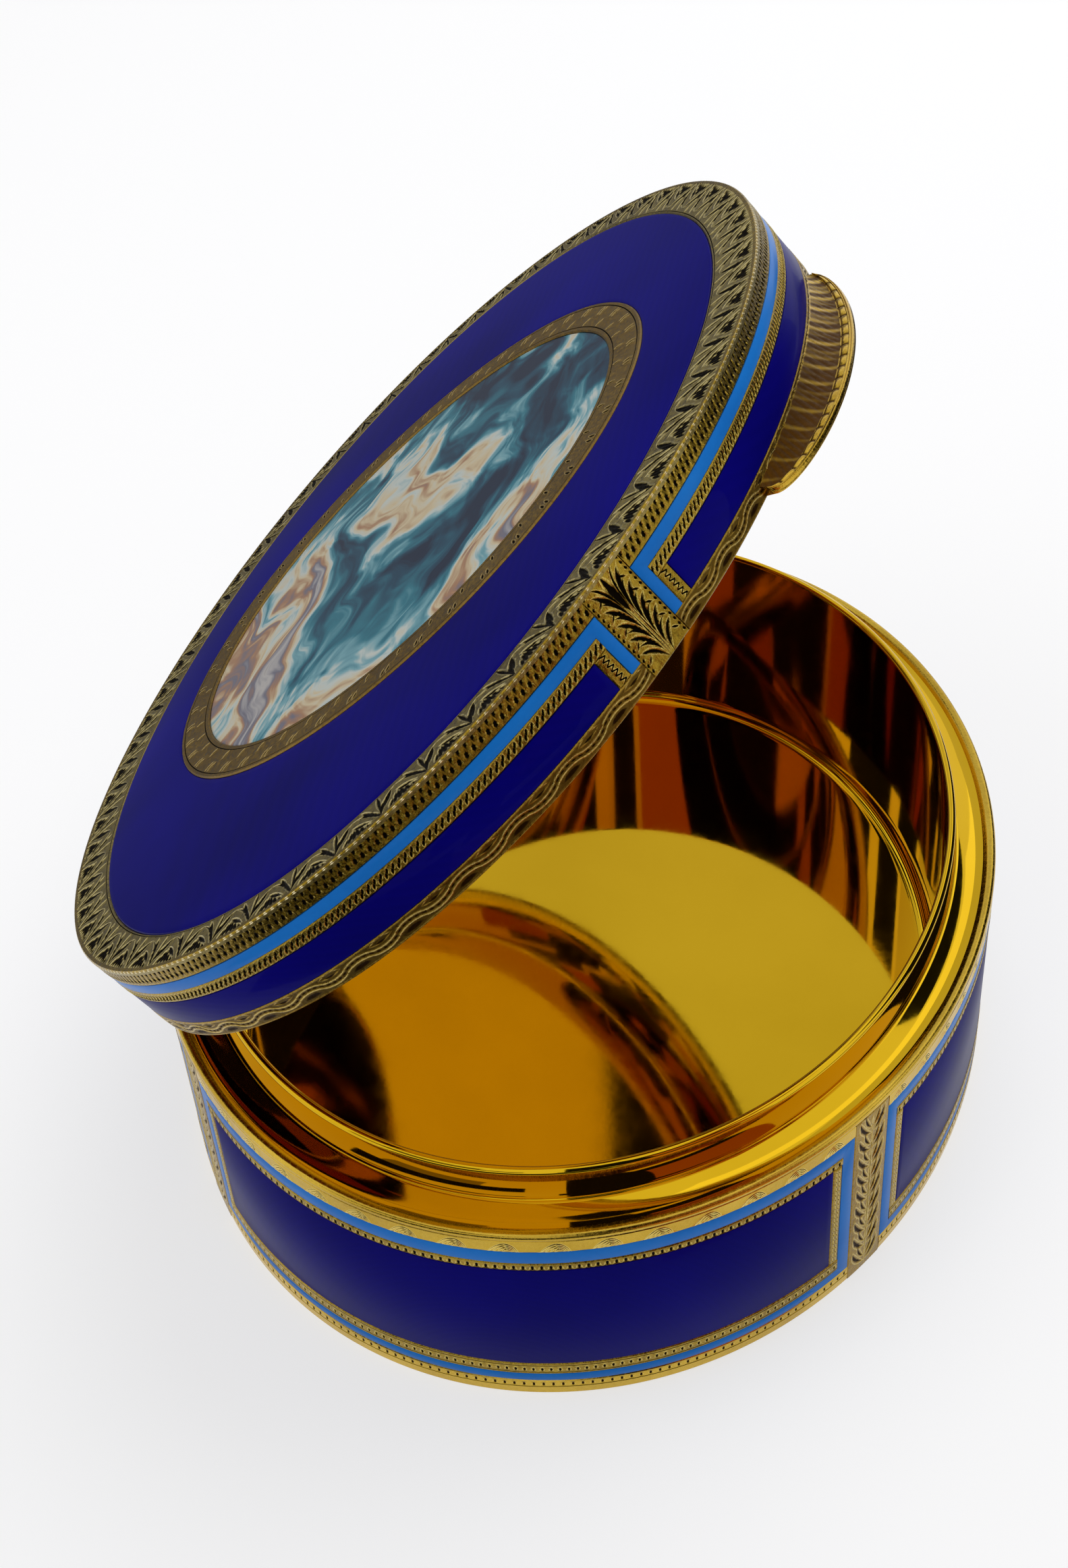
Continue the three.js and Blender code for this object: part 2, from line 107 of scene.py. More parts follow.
LINE_TOP = BODY_HEIGHT - RIM_BORDER
PANEL_TOP = LINE_TOP - UPPER_LINE - UPPER_STRIP
PANEL_BOTTOM = BASE_BORDER + LOWER_LINE + LOWER_STRIP
LID_LINE_TOP = LID_TOP - CORNER_BORDER
LID_PANEL_TOP = LID_LINE_TOP - LID_LINE - LID_STRIP
LID_PANEL_BOTTOM = LID_BOTTOM + WAVE_BORDER
print("oval", 2 * HALF_LENGTH, "by", 2 * HALF_WIDTH, "mm, lid open", degrees(LID_OPENING))

# %% [markdown]
# ## Camera
# The photograph looks down on the box from its left end, with the thumbpiece on the right. The
# view is given as a photographer would: an aim point on the box, the direction to the camera, the
# distance and a small tilt of the camera about its own axis.

# %% Camera
PHOTO_HEIGHT = 2324
FOCAL_PIXELS = 2945.4
SENSOR = 36.0
VIEW_AZIMUTH, VIEW_ELEVATION, VIEW_ROLL = (radians(a) for a in (282.6, 39.16, -4.5))
VIEW_DISTANCE = 247.4
AIM = Vector((13.87, 8.12, 18.8))

to_camera = Vector((sin(VIEW_AZIMUTH) * cos(VIEW_ELEVATION),
                    -cos(VIEW_AZIMUTH) * cos(VIEW_ELEVATION), sin(VIEW_ELEVATION)))
level_right = Vector((cos(VIEW_AZIMUTH), sin(VIEW_AZIMUTH), 0))
level_up = to_camera.cross(level_right)
right = level_right * cos(VIEW_ROLL) + level_up * sin(VIEW_ROLL)
up = to_camera.cross(right)

scene = bpy.context.scene


def in_scene(name, data):
    """Puts a mesh, a lamp or a camera into the scene."""
    made = bpy.data.objects.new(name, data)
    scene.collection.objects.link(made)
    return made


camera_data = bpy.data.cameras.new("photo_camera")
camera_data.sensor_width = SENSOR
camera_data.lens = FOCAL_PIXELS * SENSOR / PHOTO_HEIGHT
camera_data.clip_start = 0.01
camera = in_scene("photo_camera", camera_data)
stand = Matrix((right, up, to_camera)).transposed().to_4x4()
stand.translation = (AIM + to_camera * VIEW_DISTANCE) * MM
camera.matrix_world = stand
scene.camera = camera
print("lens", round(camera_data.lens, 2), "mm, camera at", [round(x, 4) for x in stand.translation])

# %% [markdown]
# ## Node helpers
# Materials and geometry trees are built from nodes. A few short helpers keep that readable. One
# fills a node's inputs with values or links, one adds a node, and one makes a node group with
# named sockets, so that an effect can be used again with other values.

# %% Node helpers
def fill(tree, node, inputs):
    """Gives each input of a node its value, or links it."""
    for key, value in inputs.items():
        if isinstance(value, bpy.types.NodeSocket):
            tree.links.new(value, node.inputs[key])
        else:
            node.inputs[key].default_value = value


def add(tree, kind, inputs=None, **settings):
    made = tree.nodes.new(kind)
    for key, value in settings.items():
        setattr(made, key, value)
    fill(tree, made, inputs or {})
    return made


def calc(tree, operation, *values, clamp=False):
    made = add(tree, "ShaderNodeMath", dict(enumerate(values)), operation=operation, use_clamp=clamp)
    return made.outputs[0]


def shares(tree, first, share, second, other_share, clamp=False):
    """Two values added, each by its share."""
    return calc(tree, "ADD", calc(tree, "MULTIPLY", first, share),
                calc(tree, "MULTIPLY", second, other_share), clamp=clamp)


def noise(tree, place, scale, detail, **more):
    inputs = {"Vector": place, "Scale": scale, "Detail": detail, **more}
    return add(tree, "ShaderNodeTexNoise", inputs).outputs


def mixed(tree, factor, first, second):
    """A colour between two others."""
    mix = add(tree, "ShaderNodeMix", data_type="RGBA")
    fill(tree, mix, {0: factor, 6: first, 7: second})
    return mix.outputs[2]


def node_group(name, kind, inputs, outputs):
    tree = bpy.data.node_groups.new(name, kind)
    for socket, kind_of_socket, default in inputs:
        made = tree.interface.new_socket(socket, in_out="INPUT", socket_type=kind_of_socket)
        if default is not None:
            made.default_value = default
    for socket, kind_of_socket in outputs:
        tree.interface.new_socket(socket, in_out="OUTPUT", socket_type=kind_of_socket)
    return tree, add(tree, "NodeGroupInput").outputs, add(tree, "NodeGroupOutput")


def new_material(name):
    material = bpy.data.materials.new(name)
    material.use_nodes = True
    tree = material.node_tree
    return material, tree, next(n for n in tree.nodes if n.type == "BSDF_PRINCIPLED")


print("helpers ready")

# %% [markdown]
# ## Floor and lamps
# The box stands on pale paper that turns white further out. One large soft lamp hangs above and
# behind it, and a weaker one on the left. A bent backdrop would do as well, but a flat floor whose
# own light fades in with distance shows no edge from any side.

# %% Floor and lamps
FLOOR_SIZE = 6.0
PAPER_WHITE = 0.6
PAPER_FADE = (0.5, 2.4)
WHITE = (1, 1, 1, 1)


def seen_directly(tree):
    """1 where the camera, a mirror or glass looks straight at a surface, and 0 for its light."""
    path = add(tree, "ShaderNodeLightPath").outputs
    return calc(tree, "MAXIMUM", path["Is Camera Ray"],
                calc(tree, "MAXIMUM", path["Is Glossy Ray"], path["Is Transmission Ray"]))


half = FLOOR_SIZE / 2
floor_mesh = bpy.data.meshes.new("studio_floor")
floor_mesh.from_pydata([(-half, -half, 0), (half, -half, 0), (half, half, 0), (-half, half, 0)], [],
                       [(0, 1, 2, 3)])
floor = in_scene("studio_floor", floor_mesh)
floor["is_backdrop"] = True

floor_look, tree, shader = new_material("studio_floor")
fill(tree, shader, {"Base Color": (0.93, 0.93, 0.93, 1), "Roughness": 0.9, "Specular IOR Level": 0.1})
paper = add(tree, "ShaderNodeEmission", {"Color": WHITE, "Strength": 1.0})
away = add(tree, "ShaderNodeVectorMath", {0: add(tree, "ShaderNodeTexCoord").outputs["Object"]},
           operation="LENGTH")
whiteness = add(tree, "ShaderNodeMapRange", {
    "Value": away.outputs["Value"], "From Min": PAPER_FADE[0], "From Max": PAPER_FADE[1],
    "To Min": PAPER_WHITE, "To Max": 1.0}, interpolation_type="SMOOTHSTEP")
blend = add(tree, "ShaderNodeMixShader", {
    0: calc(tree, "MULTIPLY", seen_directly(tree), whiteness.outputs[0]),
    1: shader.outputs[0], 2: paper.outputs[0]})
surface = next(n for n in tree.nodes if n.type == "OUTPUT_MATERIAL")
fill(tree, surface, {"Surface": blend.outputs[0]})
floor_mesh.materials.append(floor_look)

for name, power, size, location in (("lamp_behind", 5.0, 1.0, (0.45, -0.2, 0.8)),
                                    ("lamp_left", 1.2, 0.6, (-0.25, 0.5, 0.6))):
    lamp_data = bpy.data.lights.new(name, "AREA")
    lamp_data.energy, lamp_data.shape, lamp_data.size = power, "DISK", size
    lamp = in_scene(name, lamp_data)
    lamp.location = location
    lamp.rotation_euler = (Vector(location) - Vector((0, 0, 0.03))).to_track_quat("Z", "Y").to_euler()
    lamp.visible_glossy = False
print("floor and lamps ready")

# %% [markdown]
# ## Cards for the mirrors
# Polished gold has no look of its own: it shows what stands round it. So cards stand on a dome
# round the box and cloths lie on the floor, where only mirrors see them: dark shapes, a window
# with warm panes and bars, and grey curtains. A picture of a room would do the same, but a few
# plain cards are easier to place. They belong to the studio, not to the box.

# %% Helpers for cards
DOME = 1.2
BEHIND_DOME = 1.25
CLOTH_HEIGHT = 0.0004
CLOTH_STEPS = 12


def add_card(name, colour, points, faces):
    """A card that only mirrors and glass see."""
    mesh = bpy.data.meshes.new(name)
    mesh.from_pydata(points, [], faces)
    card = in_scene(name, mesh)
    card.visible_camera = card.visible_shadow = card.visible_diffuse = False
    card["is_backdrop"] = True
    look, tree, shader = new_material(name)
    fill(tree, shader, {"Base Color": (0, 0, 0, 1), "Specular IOR Level": 0.0,
                        "Emission Color": (*colour, 1), "Emission Strength": 1.0})
    mesh.materials.append(look)


def cards_on_dome(name, colour, patches, distance=DOME):
    """Cards on a dome round the box, as (azimuth from, to, elevation from, to)."""
    points, faces = [], []
    for low_turn, high_turn, *rises in patches:
        steps = max(1, round((high_turn - low_turn) / 6))
        first = len(points)
        for n in range(steps + 1):
            turn = radians(low_turn + (high_turn - low_turn) * n / steps)
            for rise in map(radians, rises):
                points.append(Vector((cos(turn) * cos(rise),
                                      sin(turn) * cos(rise), sin(rise))) * distance)
        faces += [(first + 2 * n, first + 2 * n + 2, first + 2 * n + 3, first + 2 * n + 1)
                  for n in range(steps)]
    add_card(name, colour, points, faces)


def cloth_on_floor(name, colour, low_turn, high_turn, near, far):
    """A sector of cloth that lies on the floor."""
    points = []
    for n in range(CLOTH_STEPS + 1):
        turn = radians(low_turn + (high_turn - low_turn) * n / CLOTH_STEPS)
        points += [(cos(turn) * reach, sin(turn) * reach, CLOTH_HEIGHT) for reach in (near, far)]
    add_card(name, colour, points, [(2 * n, 2 * n + 1, 2 * n + 3, 2 * n + 2) for n in range(CLOTH_STEPS)])


print("the dome stands", DOME, "m away")

# %% [markdown]
# ## Where each card stands
# Each card stands where a line from the camera, mirrored in the gilt cup, leaves the box. So its
# place is an angle round the box and an angle above the floor. The room itself is white where
# the camera sees it, and gives the box a soft grey light.

# %% Cards, cloths and the room
BLACK = (0.01, 0.01, 0.01)
ROOM_LIGHT = (0.5, 0.5, 0.52, 1)
cards_on_dome("photographer", BLACK, [(192, 217, 0, 66), (217, 250, 41, 57), (190, 240, 5, 12)])
cards_on_dome("dark_room", BLACK, [(290, 332, 0, 50), (126, 180, 17, 28), (36, 48, 34, 48),
                                   (53, 74, 34, 48)])
cards_on_dome("dark_horizon", BLACK, [(205, 292, -9, 8)], 0.36)
cards_on_dome("window_bars", BLACK, [(turn, turn + 5, 57, 70) for turn in (250, 265, 280, 295)]
              + [(250, 300, 60, 62)])
cards_on_dome("warm_panes", (0.8, 0.36, 0.16), [(244, 304, 57, 70)], BEHIND_DOME)
cards_on_dome("warm_low_panes", (0.45, 0.16, 0.08), [(217, 250, 12, 41)], BEHIND_DOME)
cards_on_dome("grey_curtain", (0.3, 0.3, 0.3), [(134, 166, 28, 44)])
cards_on_dome("pale_curtain", (0.72, 0.72, 0.74), [(-14, 34, 34, 56)])
cards_on_dome("window_behind", (1.4, 1.4, 1.4), [(334, 346, 36, 72)])
cards_on_dome("grey_back_card", (0.22, 0.22, 0.22), [(2, 80, -3, 24)], 0.7)
cloth_on_floor("grey_cloth_behind", (0.2, 0.2, 0.2), 2, 84, 0.075, 0.72)
cloth_on_floor("black_cloth_right", BLACK, 285, 345, 0.245, 0.75)
cloth_on_floor("black_cloth_front", (0.03, 0.03, 0.03), 150, 203, 0.1, 0.5)
cloth_on_floor("warm_cloth_front", (0.6, 0.25, 0.1), 203, 240, 0.085, 0.3)

scene.world = bpy.data.worlds.new("studio")
scene.world.use_nodes = True
tree = scene.world.node_tree
background = next(n for n in tree.nodes if n.type == "BACKGROUND")
fill(tree, background, {"Color": mixed(tree, seen_directly(tree), ROOM_LIGHT, WHITE)})
scene.view_settings.view_transform = "Standard"
print("studio ready, camera", round(stand.translation.length, 3), "m from the origin")

# %% [markdown]
# ## Gilt
# Gilding is never one flat colour: the hand of the polisher leaves it brighter in some places. A
# photographed metal would repeat, so this group mixes a slow and a fine noise into a tone.

# %% The group "hand polished tone"
FLOAT, VECTOR = "NodeSocketFloat", "NodeSocketVector"
tone_group, given, out = node_group("hand_polished_tone", "ShaderNodeTree", [
    ("Place", VECTOR, None), ("Broad scale", FLOAT, 60.0), ("Fine scale", FLOAT, 900.0),
    ("Grit", FLOAT, 0.3)], [("Tone", FLOAT), ("Grain", FLOAT), ("Swell", FLOAT)])
broad = noise(tone_group, given["Place"], given["Broad scale"], 3.0, Roughness=0.55)["Fac"]
fine = noise(tone_group, given["Place"], given["Fine scale"], 3.0, Roughness=0.7)["Fac"]
slow = add(tone_group, "ShaderNodeMapRange", {"Value": broad, "From Min": 0.3, "From Max": 0.7}).outputs[0]
quick = add(tone_group, "ShaderNodeMapRange", {"Value": fine, "From Min": 0.33, "From Max": 0.67}).outputs[0]
gritty = calc(tone_group, "MULTIPLY", quick, given["Grit"])
smooth = calc(tone_group, "MULTIPLY", slow, calc(tone_group, "SUBTRACT", 1.0, given["Grit"]))
swell = noise(tone_group, given["Place"], 1100.0, 1.0)["Fac"]
fill(tone_group, out, {
    "Tone": calc(tone_group, "ADD", gritty, smooth), "Grain": quick,
    "Swell": shares(tone_group, swell, 0.7, gritty, 0.6)})
print("tone:", [item.name for item in tone_group.interface.items_tree])

# %% [markdown]
# ## Dark polish and painted shade in the cuts
# Old polish stays dark in every cut, and the same dark colour paints the shade inside the groove.
# The burr, the thin raised lip beside a cut, is painted paler as a highlight. Painting these marks
# into maps would need a map for every piece. A mesh attribute named cut follows the engraving by
# itself: it is 0 on the surface, 1 at the bottom of a groove and below 0 on the burr. This group
# turns it into two masks: dark polish with painted shade, and the painted burr highlight.

# %% The group "dark polish, shade and burr highlight"
cut_group, given, out = node_group("dark_polish_shade_and_burr_highlight", "ShaderNodeTree", [
    ("Cut", FLOAT, 0.0), ("Tone", FLOAT, 0.5), ("Spread", FLOAT, 0.25)], [("Mask", FLOAT), ("Burr highlight", FLOAT)])
uneven = calc(cut_group, "MULTIPLY", calc(cut_group, "SUBTRACT", given["Tone"], 0.5), 0.1)
# Dark polish and painted shade in the cuts, by how deep a point lies.
darkening = add(cut_group, "ShaderNodeMapRange", {
    "Value": calc(cut_group, "ADD", given["Cut"], uneven), "From Min": 0.03,
    "From Max": given["Spread"]}, interpolation_type="SMOOTHSTEP")
# Points below 0, on the burr, get a painted highlight.
fill(cut_group, out, {"Mask": darkening.outputs[0],
                      "Burr highlight": calc(cut_group, "MULTIPLY", given["Cut"], -1.6, clamp=True)})
print("masks:", [item.name for item in cut_group.interface.items_tree])

# %% [markdown]
# ## Kinds of gilt
# The box has gilt of several kinds: engraved, worn, brown and dull from use, and polished like a
# mirror inside. They are one material with other numbers, so they wear in the same way. Their dark
# colour in the cuts is dark polish and painted shade. The pale edge gilt is a painted highlight, and
# the thumb's dark colour is painted shade in its dish.

# %% Gilt materials
def gilt(name, bright, deep, polish_and_shade, roughness, scratch, spread=0.25, grit=0.5, scales=(60.0, 2600.0)):
    """Gilt metal with dark polish and painted shade in its cuts, and a painted highlight on the burr beside
    them.
    """
    material, tree, shader = new_material(name)
    tone = add(tree, "ShaderNodeGroup", {}, node_tree=tone_group)
    fill(tree, tone, {"Place": add(tree, "ShaderNodeTexCoord").outputs["Object"],
                      "Broad scale": scales[0], "Fine scale": scales[1], "Grit": grit})
    mask = add(tree, "ShaderNodeGroup", {}, node_tree=cut_group)
    fill(tree, mask, {"Cut": add(tree, "ShaderNodeAttribute", attribute_name="cut").outputs["Fac"],
                      "Tone": tone.outputs["Tone"], "Spread": spread})
    metal = mixed(tree, tone.outputs["Tone"], (*deep, 1), (*bright, 1))
    # The burr's paler gilt is a painted highlight.
    burr_highlight = tuple(min(0.95, channel ** 0.6) for channel in bright)
    metal = mixed(tree, mask.outputs["Burr highlight"], metal, (*burr_highlight, 1))
    rough = add(tree, "ShaderNodeMapRange", {"Value": tone.outputs["Grain"], "To Min": roughness * 0.7,
                                             "To Max": roughness * 1.4}).outputs[0]
    bump = add(tree, "ShaderNodeBump", {"Height": tone.outputs["Swell"], "Strength": scratch,
                                        "Distance": 0.0001})
    fill(tree, shader, {
        "Base Color": mixed(tree, mask.outputs["Mask"], metal, (*polish_and_shade, 1)),
        "Roughness": calc(tree, "ADD", rough, calc(tree, "MULTIPLY", mask.outputs["Mask"], 0.3)),
        "Normal": bump.outputs["Normal"], "Metallic": 1.0})
    return material


# Colours in the cuts: dark polish that also paints the shade in the grooves.
BLACK_POLISH_AND_SHADE, BROWN_POLISH_AND_SHADE = (0.006, 0.004, 0.002), (0.028, 0.012, 0.002)
engraved_gilt = gilt("engraved_gilt", (0.50, 0.335, 0.036), (0.13, 0.075, 0.006), BLACK_POLISH_AND_SHADE, 0.26, 0.9)
worn_gilt = gilt("worn_gilt", (0.44, 0.345, 0.11), (0.14, 0.10, 0.028), BLACK_POLISH_AND_SHADE, 0.34, 0.9)
brown_gilt = gilt("brown_gilt", (0.46, 0.30, 0.045), (0.13, 0.07, 0.008), BROWN_POLISH_AND_SHADE, 0.3, 0.9, spread=0.6)
warm_gilt = gilt("warm_gilt", (0.72, 0.49, 0.06), (0.42, 0.26, 0.025), BROWN_POLISH_AND_SHADE, 0.22, 0.2, grit=0.3)
dull_gilt = gilt("dull_gilt", (0.34, 0.22, 0.055), (0.12, 0.065, 0.012), BLACK_POLISH_AND_SHADE, 0.42, 0.6, grit=0.65)
# The thumb's dark cut colour paints the shade in its dish and between its lobes.
thumb_gilt = gilt("thumb_gilt", (0.74, 0.50, 0.06), (0.42, 0.24, 0.02), (0.085, 0.034, 0.002), 0.2, 0.3,
                  spread=0.75)
# A pale, nearly cream gilt: a painted highlight for the lid's corner.
edge_highlight_gilt = gilt("edge_highlight_gilt", (0.95, 0.88, 0.62), (0.72, 0.60, 0.32), BROWN_POLISH_AND_SHADE, 0.2, 0.3)
polished_gilt = gilt("polished_gilt", (0.70, 0.435, 0.014), (0.61, 0.37, 0.009), BROWN_POLISH_AND_SHADE, 0.045, 0.01,
                     grit=0.1, scales=(25.0, 300.0))
print("gilt materials ready")

# %% [markdown]
# ## Enamel
# The dark blue enamel is clear glass over a turned ground, so light that gets in comes back as a
# deep blue, and the polished surface adds its own thin reflection. A faint coat over a deep,
# slightly rough base does both, without the slow light of real thick glass. The light blue is
# opaque glass with faint clouds.

# %% Blue enamels
dark_blue, tree, shader = new_material("dark_blue_enamel")
place = add(tree, "ShaderNodeTexCoord").outputs["Object"]
clouds = noise(tree, place, 35.0, 3.0)["Fac"]
rings = add(tree, "ShaderNodeTexWave", {"Vector": place, "Scale": 400.0, "Distortion": 1.5, "Detail": 1.0,
                                        "Detail Scale": 0.6}, wave_type="RINGS").outputs["Fac"]
deep = shares(tree, clouds, 0.95, rings, 0.05, clamp=True)
bump = add(tree, "ShaderNodeBump", {"Height": rings, "Strength": 0.05, "Distance": 0.00005})
fill(tree, shader, {
    "Base Color": mixed(tree, deep, (0.0006, 0.0004, 0.05, 1), (0.003, 0.0009, 0.21, 1)),
    "Roughness": 0.3, "Specular IOR Level": 0.015, "Coat Weight": 0.04, "Coat Roughness": 0.04,
    "Coat IOR": 1.4, "Normal": bump.outputs["Normal"]})

light_blue, tree, shader = new_material("light_blue_enamel")
place = add(tree, "ShaderNodeTexCoord").outputs["Object"]
blend = shares(tree, noise(tree, place, 120.0, 4.0)["Fac"], 0.8,
               noise(tree, place, 2200.0, 1.0)["Fac"], 0.2)
fill(tree, shader, {
    "Base Color": mixed(tree, blend, (0.004, 0.115, 0.44, 1), (0.009, 0.20, 0.64, 1)),
    "Roughness": 0.3, "Specular IOR Level": 0.08, "Coat Weight": 0.05, "Coat Roughness": 0.06})
print("blue enamels ready")

# %% [markdown]
# ## Painted enamel
# The plaque on the lid is painted enamel under a clear coat: a generic marbled pattern with slow
# clouds, veins and soft brush strokes. Bent noise read through a ramp of ten colours gives all
# three, and it lies flat in the plaque's own map, so it turns with the lid.

# %% Painted enamel
MARBLE = [(0.31, (0.003, 0.012, 0.035)), (0.38, (0.006, 0.05, 0.09)), (0.44, (0.02, 0.15, 0.20)),
          (0.485, (0.15, 0.32, 0.36)), (0.52, (0.46, 0.50, 0.46)), (0.56, (0.52, 0.43, 0.27)),
          (0.60, (0.32, 0.17, 0.09)), (0.65, (0.13, 0.13, 0.17)), (0.71, (0.40, 0.38, 0.36)),
          (0.80, (0.07, 0.035, 0.02))]
painted, tree, shader = new_material("painted_enamel")
flat = add(tree, "ShaderNodeUVMap", uv_map="UVMap").outputs["UV"]
drift = noise(tree, flat, 1.7, 3.0, Roughness=0.55)["Color"]
shifted = add(tree, "ShaderNodeVectorMath", {0: flat, 1: drift}, operation="ADD").outputs[0]
slow, fast = (add(tree, "ShaderNodeMapping", {"Vector": shifted, "Rotation": (0, 0, turn), "Scale": scale}
                  ).outputs[0] for turn, scale in ((0.9, (1.0, 2.1, 1.0)), (0.5, (4.0, 22.0, 1.0))))
clouds = noise(tree, slow, 1.9, 4.0, Roughness=0.5, Distortion=0.9)["Fac"]
brush = calc(tree, "MULTIPLY", calc(tree, "SUBTRACT", noise(tree, fast, 2.0, 3.0)["Fac"], 0.5), 0.14)
spot = add(tree, "ShaderNodeSeparateXYZ", {0: flat}).outputs
lean = calc(tree, "SUBTRACT", calc(tree, "MULTIPLY", spot["Y"], 0.9), spot["X"])
tone = calc(tree, "ADD", calc(tree, "ADD", clouds, brush), calc(tree, "MULTIPLY", lean, 0.16))
colours = add(tree, "ShaderNodeValToRGB", {"Fac": tone})
ramp = colours.color_ramp
for number, (position, colour) in enumerate(MARBLE):
    stop = ramp.elements[number] if number < 2 else ramp.elements.new(position)
    stop.position = position
    stop.color = (*colour, 1)
fill(tree, shader, {"Base Color": colours.outputs["Color"], "Roughness": 0.4, "Specular IOR Level": 0.2,
                    "Coat Weight": 0.25, "Coat Roughness": 0.05})
print("painted enamel with", len(ramp.elements), "colours")

# %% [markdown]
# ## Places on the oval
# Nearly every piece follows the same oval, so a place is given by an inset from the outside, an
# angle round the oval and a height. Borders are laid out by length along the wall, as a tape would
# measure it. An oval has no short formula for that, so a fine table turns length into angle.

# %% Places on the oval
ROUND_STEPS = 480
ROUND = np.linspace(0, 2 * pi, ROUND_STEPS, endpoint=False)

fine_angles = np.linspace(0, 2 * pi, 7201)
fine_speed = np.hypot(HALF_LENGTH * np.sin(fine_angles), HALF_WIDTH * np.cos(fine_angles))
fine_steps = (fine_speed[1:] + fine_speed[:-1]) / 2 * np.diff(fine_angles)
fine_lengths = np.concatenate([[0], np.cumsum(fine_steps)])
PERIMETER = fine_lengths[-1]


def angle_at(length):
    return np.interp(np.mod(length, PERIMETER), fine_lengths, fine_angles)


def length_at(angle):
    return float(np.interp(angle, fine_angles, fine_lengths))


def on_oval(inset, angle, height):
    return ((HALF_LENGTH - inset) * cos(angle), (HALF_WIDTH - inset) * sin(angle), height)


print("perimeter", round(PERIMETER, 2), "mm")

# %% [markdown]
# ## Rings, cups and plates
# A section swept round the oval makes a ring, and a section that starts and ends in the middle
# makes a cup or a plate. A screw modifier could only turn it round a circle, so the points are set
# one by one.

# %% Rings, cups and plates
def quads(rows, columns, round_rows=False, round_columns=False):
    """Faces of a grid of points that may close on itself."""
    faces = []
    for row in range(rows if round_rows else rows - 1):
        for column in range(columns if round_columns else columns - 1):
            next_row, next_column = (row + 1) % rows, (column + 1) % columns
            faces.append((row * columns + column, row * columns + next_column,
                          next_row * columns + next_column, next_row * columns + column))
    return faces


def oval_ring(section):
    points = [on_oval(inset, angle, height) for angle in ROUND for inset, height in section]
    return points, quads(ROUND_STEPS, len(section), True, True)


def with_poles(points, rows, low, high):
    """Closes a stack of rings with a point in the middle of the first and of the last."""
    faces = quads(rows, ROUND_STEPS, round_columns=True)
    first, last = len(points), len(points) + 1
    top = (rows - 1) * ROUND_STEPS
    for n in range(ROUND_STEPS):
        after = (n + 1) % ROUND_STEPS
        faces += [(first, n, after), (last, top + after, top + n)]
    return points + [(0, 0, low), (0, 0, high)], faces


def oval_disc(section):
    """A plate or cup, from the middle of its underside round to the middle of its top."""
    points = [on_oval(inset, angle, height) for inset, height in section for angle in ROUND]
    return with_poles(points, len(section), section[0][1], section[-1][1])


def fillet(corner, start, end, steps=6):
    """Points of a rounded corner between two points, by a quadratic curve."""
    return [tuple((1 - t) ** 2 * s + 2 * t * (1 - t) * c + t * t * e for s, c, e in zip(start, corner, end))
            for t in (n / steps for n in range(steps + 1))]


print("a fillet has", len(fillet((0, 0), (0, 1), (1, 0))), "points")

# %% [markdown]
# ## Finishing a piece
# Every piece is welded, smoothed between its sharp edges and given its look, its body and its
# name. The lid is drawn shut, which keeps its heights simple, and its meshes are then turned open
# about the hinge. One helper does all that, so no piece can miss a step.

# %% Finishing a piece
LID_TURN = (Matrix.Translation(HINGE * MM) @ Matrix.Rotation(-LID_OPENING, 4, "X")
            @ Matrix.Translation(-HINGE * MM))


def mesh_of(name, points, faces):
    mesh = bpy.data.meshes.new(name)
    mesh.from_pydata([Vector(p) * MM for p in points], [], faces)
    return mesh


def dress(name, mesh, look, body, nodes=(), crease=35, close=False):
    """Finishes a mesh that is drawn with the lid shut: welds, smooths, places and names it."""
    work = bmesh.new()
    work.from_mesh(mesh)
    bmesh.ops.remove_doubles(work, verts=work.verts, dist=2e-6)
    if close:
        bmesh.ops.holes_fill(work, edges=[e for e in work.edges if e.is_boundary])
    bmesh.ops.recalc_face_normals(work, faces=work.faces)
    open_edges = sum(1 for e in work.edges if not e.is_manifold)
    work.to_mesh(mesh)
    work.free()
    mesh.shade_smooth()
    mesh.set_sharp_from_angle(angle=radians(crease))
    if body == "lid":
        mesh.transform(LID_TURN)
    mesh.materials.clear()
    mesh.materials.append(look)
    piece = in_scene(name, mesh)
    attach(piece, body)
    if nodes:
        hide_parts(*nodes)
    triangles = sum(len(p.vertices) - 2 for p in mesh.polygons)
    print(f"{name}: {triangles} triangles, {open_edges} open edges")


def piece_from(name, shape, look, body, nodes=(), crease=35):
    dress(name, mesh_of(name, *shape), look, body, nodes, crease)


print("the lid turns about", [round(x, 2) for x in HINGE], "mm")

# %% [markdown]
# ## Walls, cup and plates
# The plain metal comes first. The body's wall is a ring whose outside is set back to the bottom of
# the enamel cells, with a rounded lip on top. The polished cup is modelled as one smooth sheet:
# a hollowed ledge, a flange that stands up inside the lid, the wall and the floor. The mirror
# finish shows every facet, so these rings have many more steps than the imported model.

# %% Plain metal
LIP_INNER = 1.5
LEDGE_LOW = 24.45
FLANGE_INSET, FLANGE_WALL = 4.65, 1.0
FLANGE_TOP = BODY_HEIGHT + 3.9
FLOOR_TOP = 2.3
CUP_CORNER, CUP_SHEET = 1.6, 0.8
LID_CEILING = LID_TOP - 2.1
LID_SHEET = BAND_WALL + 0.3

shoulder = BODY_HEIGHT - LIP_HEIGHT
lip = fillet((0.0, BODY_HEIGHT + 0.14), (0.0, shoulder + 0.2), (0.45, BODY_HEIGHT + 0.14))
lip += fillet((LIP_INNER - 0.3, BODY_HEIGHT + 0.1), (0.6, BODY_HEIGHT + 0.14),
              (LIP_INNER, BODY_HEIGHT - 0.6))
wall_section = [(CORE_INSET, 0.25), (CORE_INSET, shoulder), (0.08, shoulder)] + lip + [
    (BAND_WALL, 22.0), (BAND_WALL, 0.25)]
piece_from("body_wall", oval_ring(wall_section), warm_gilt, "box", nodes=["body_band"])

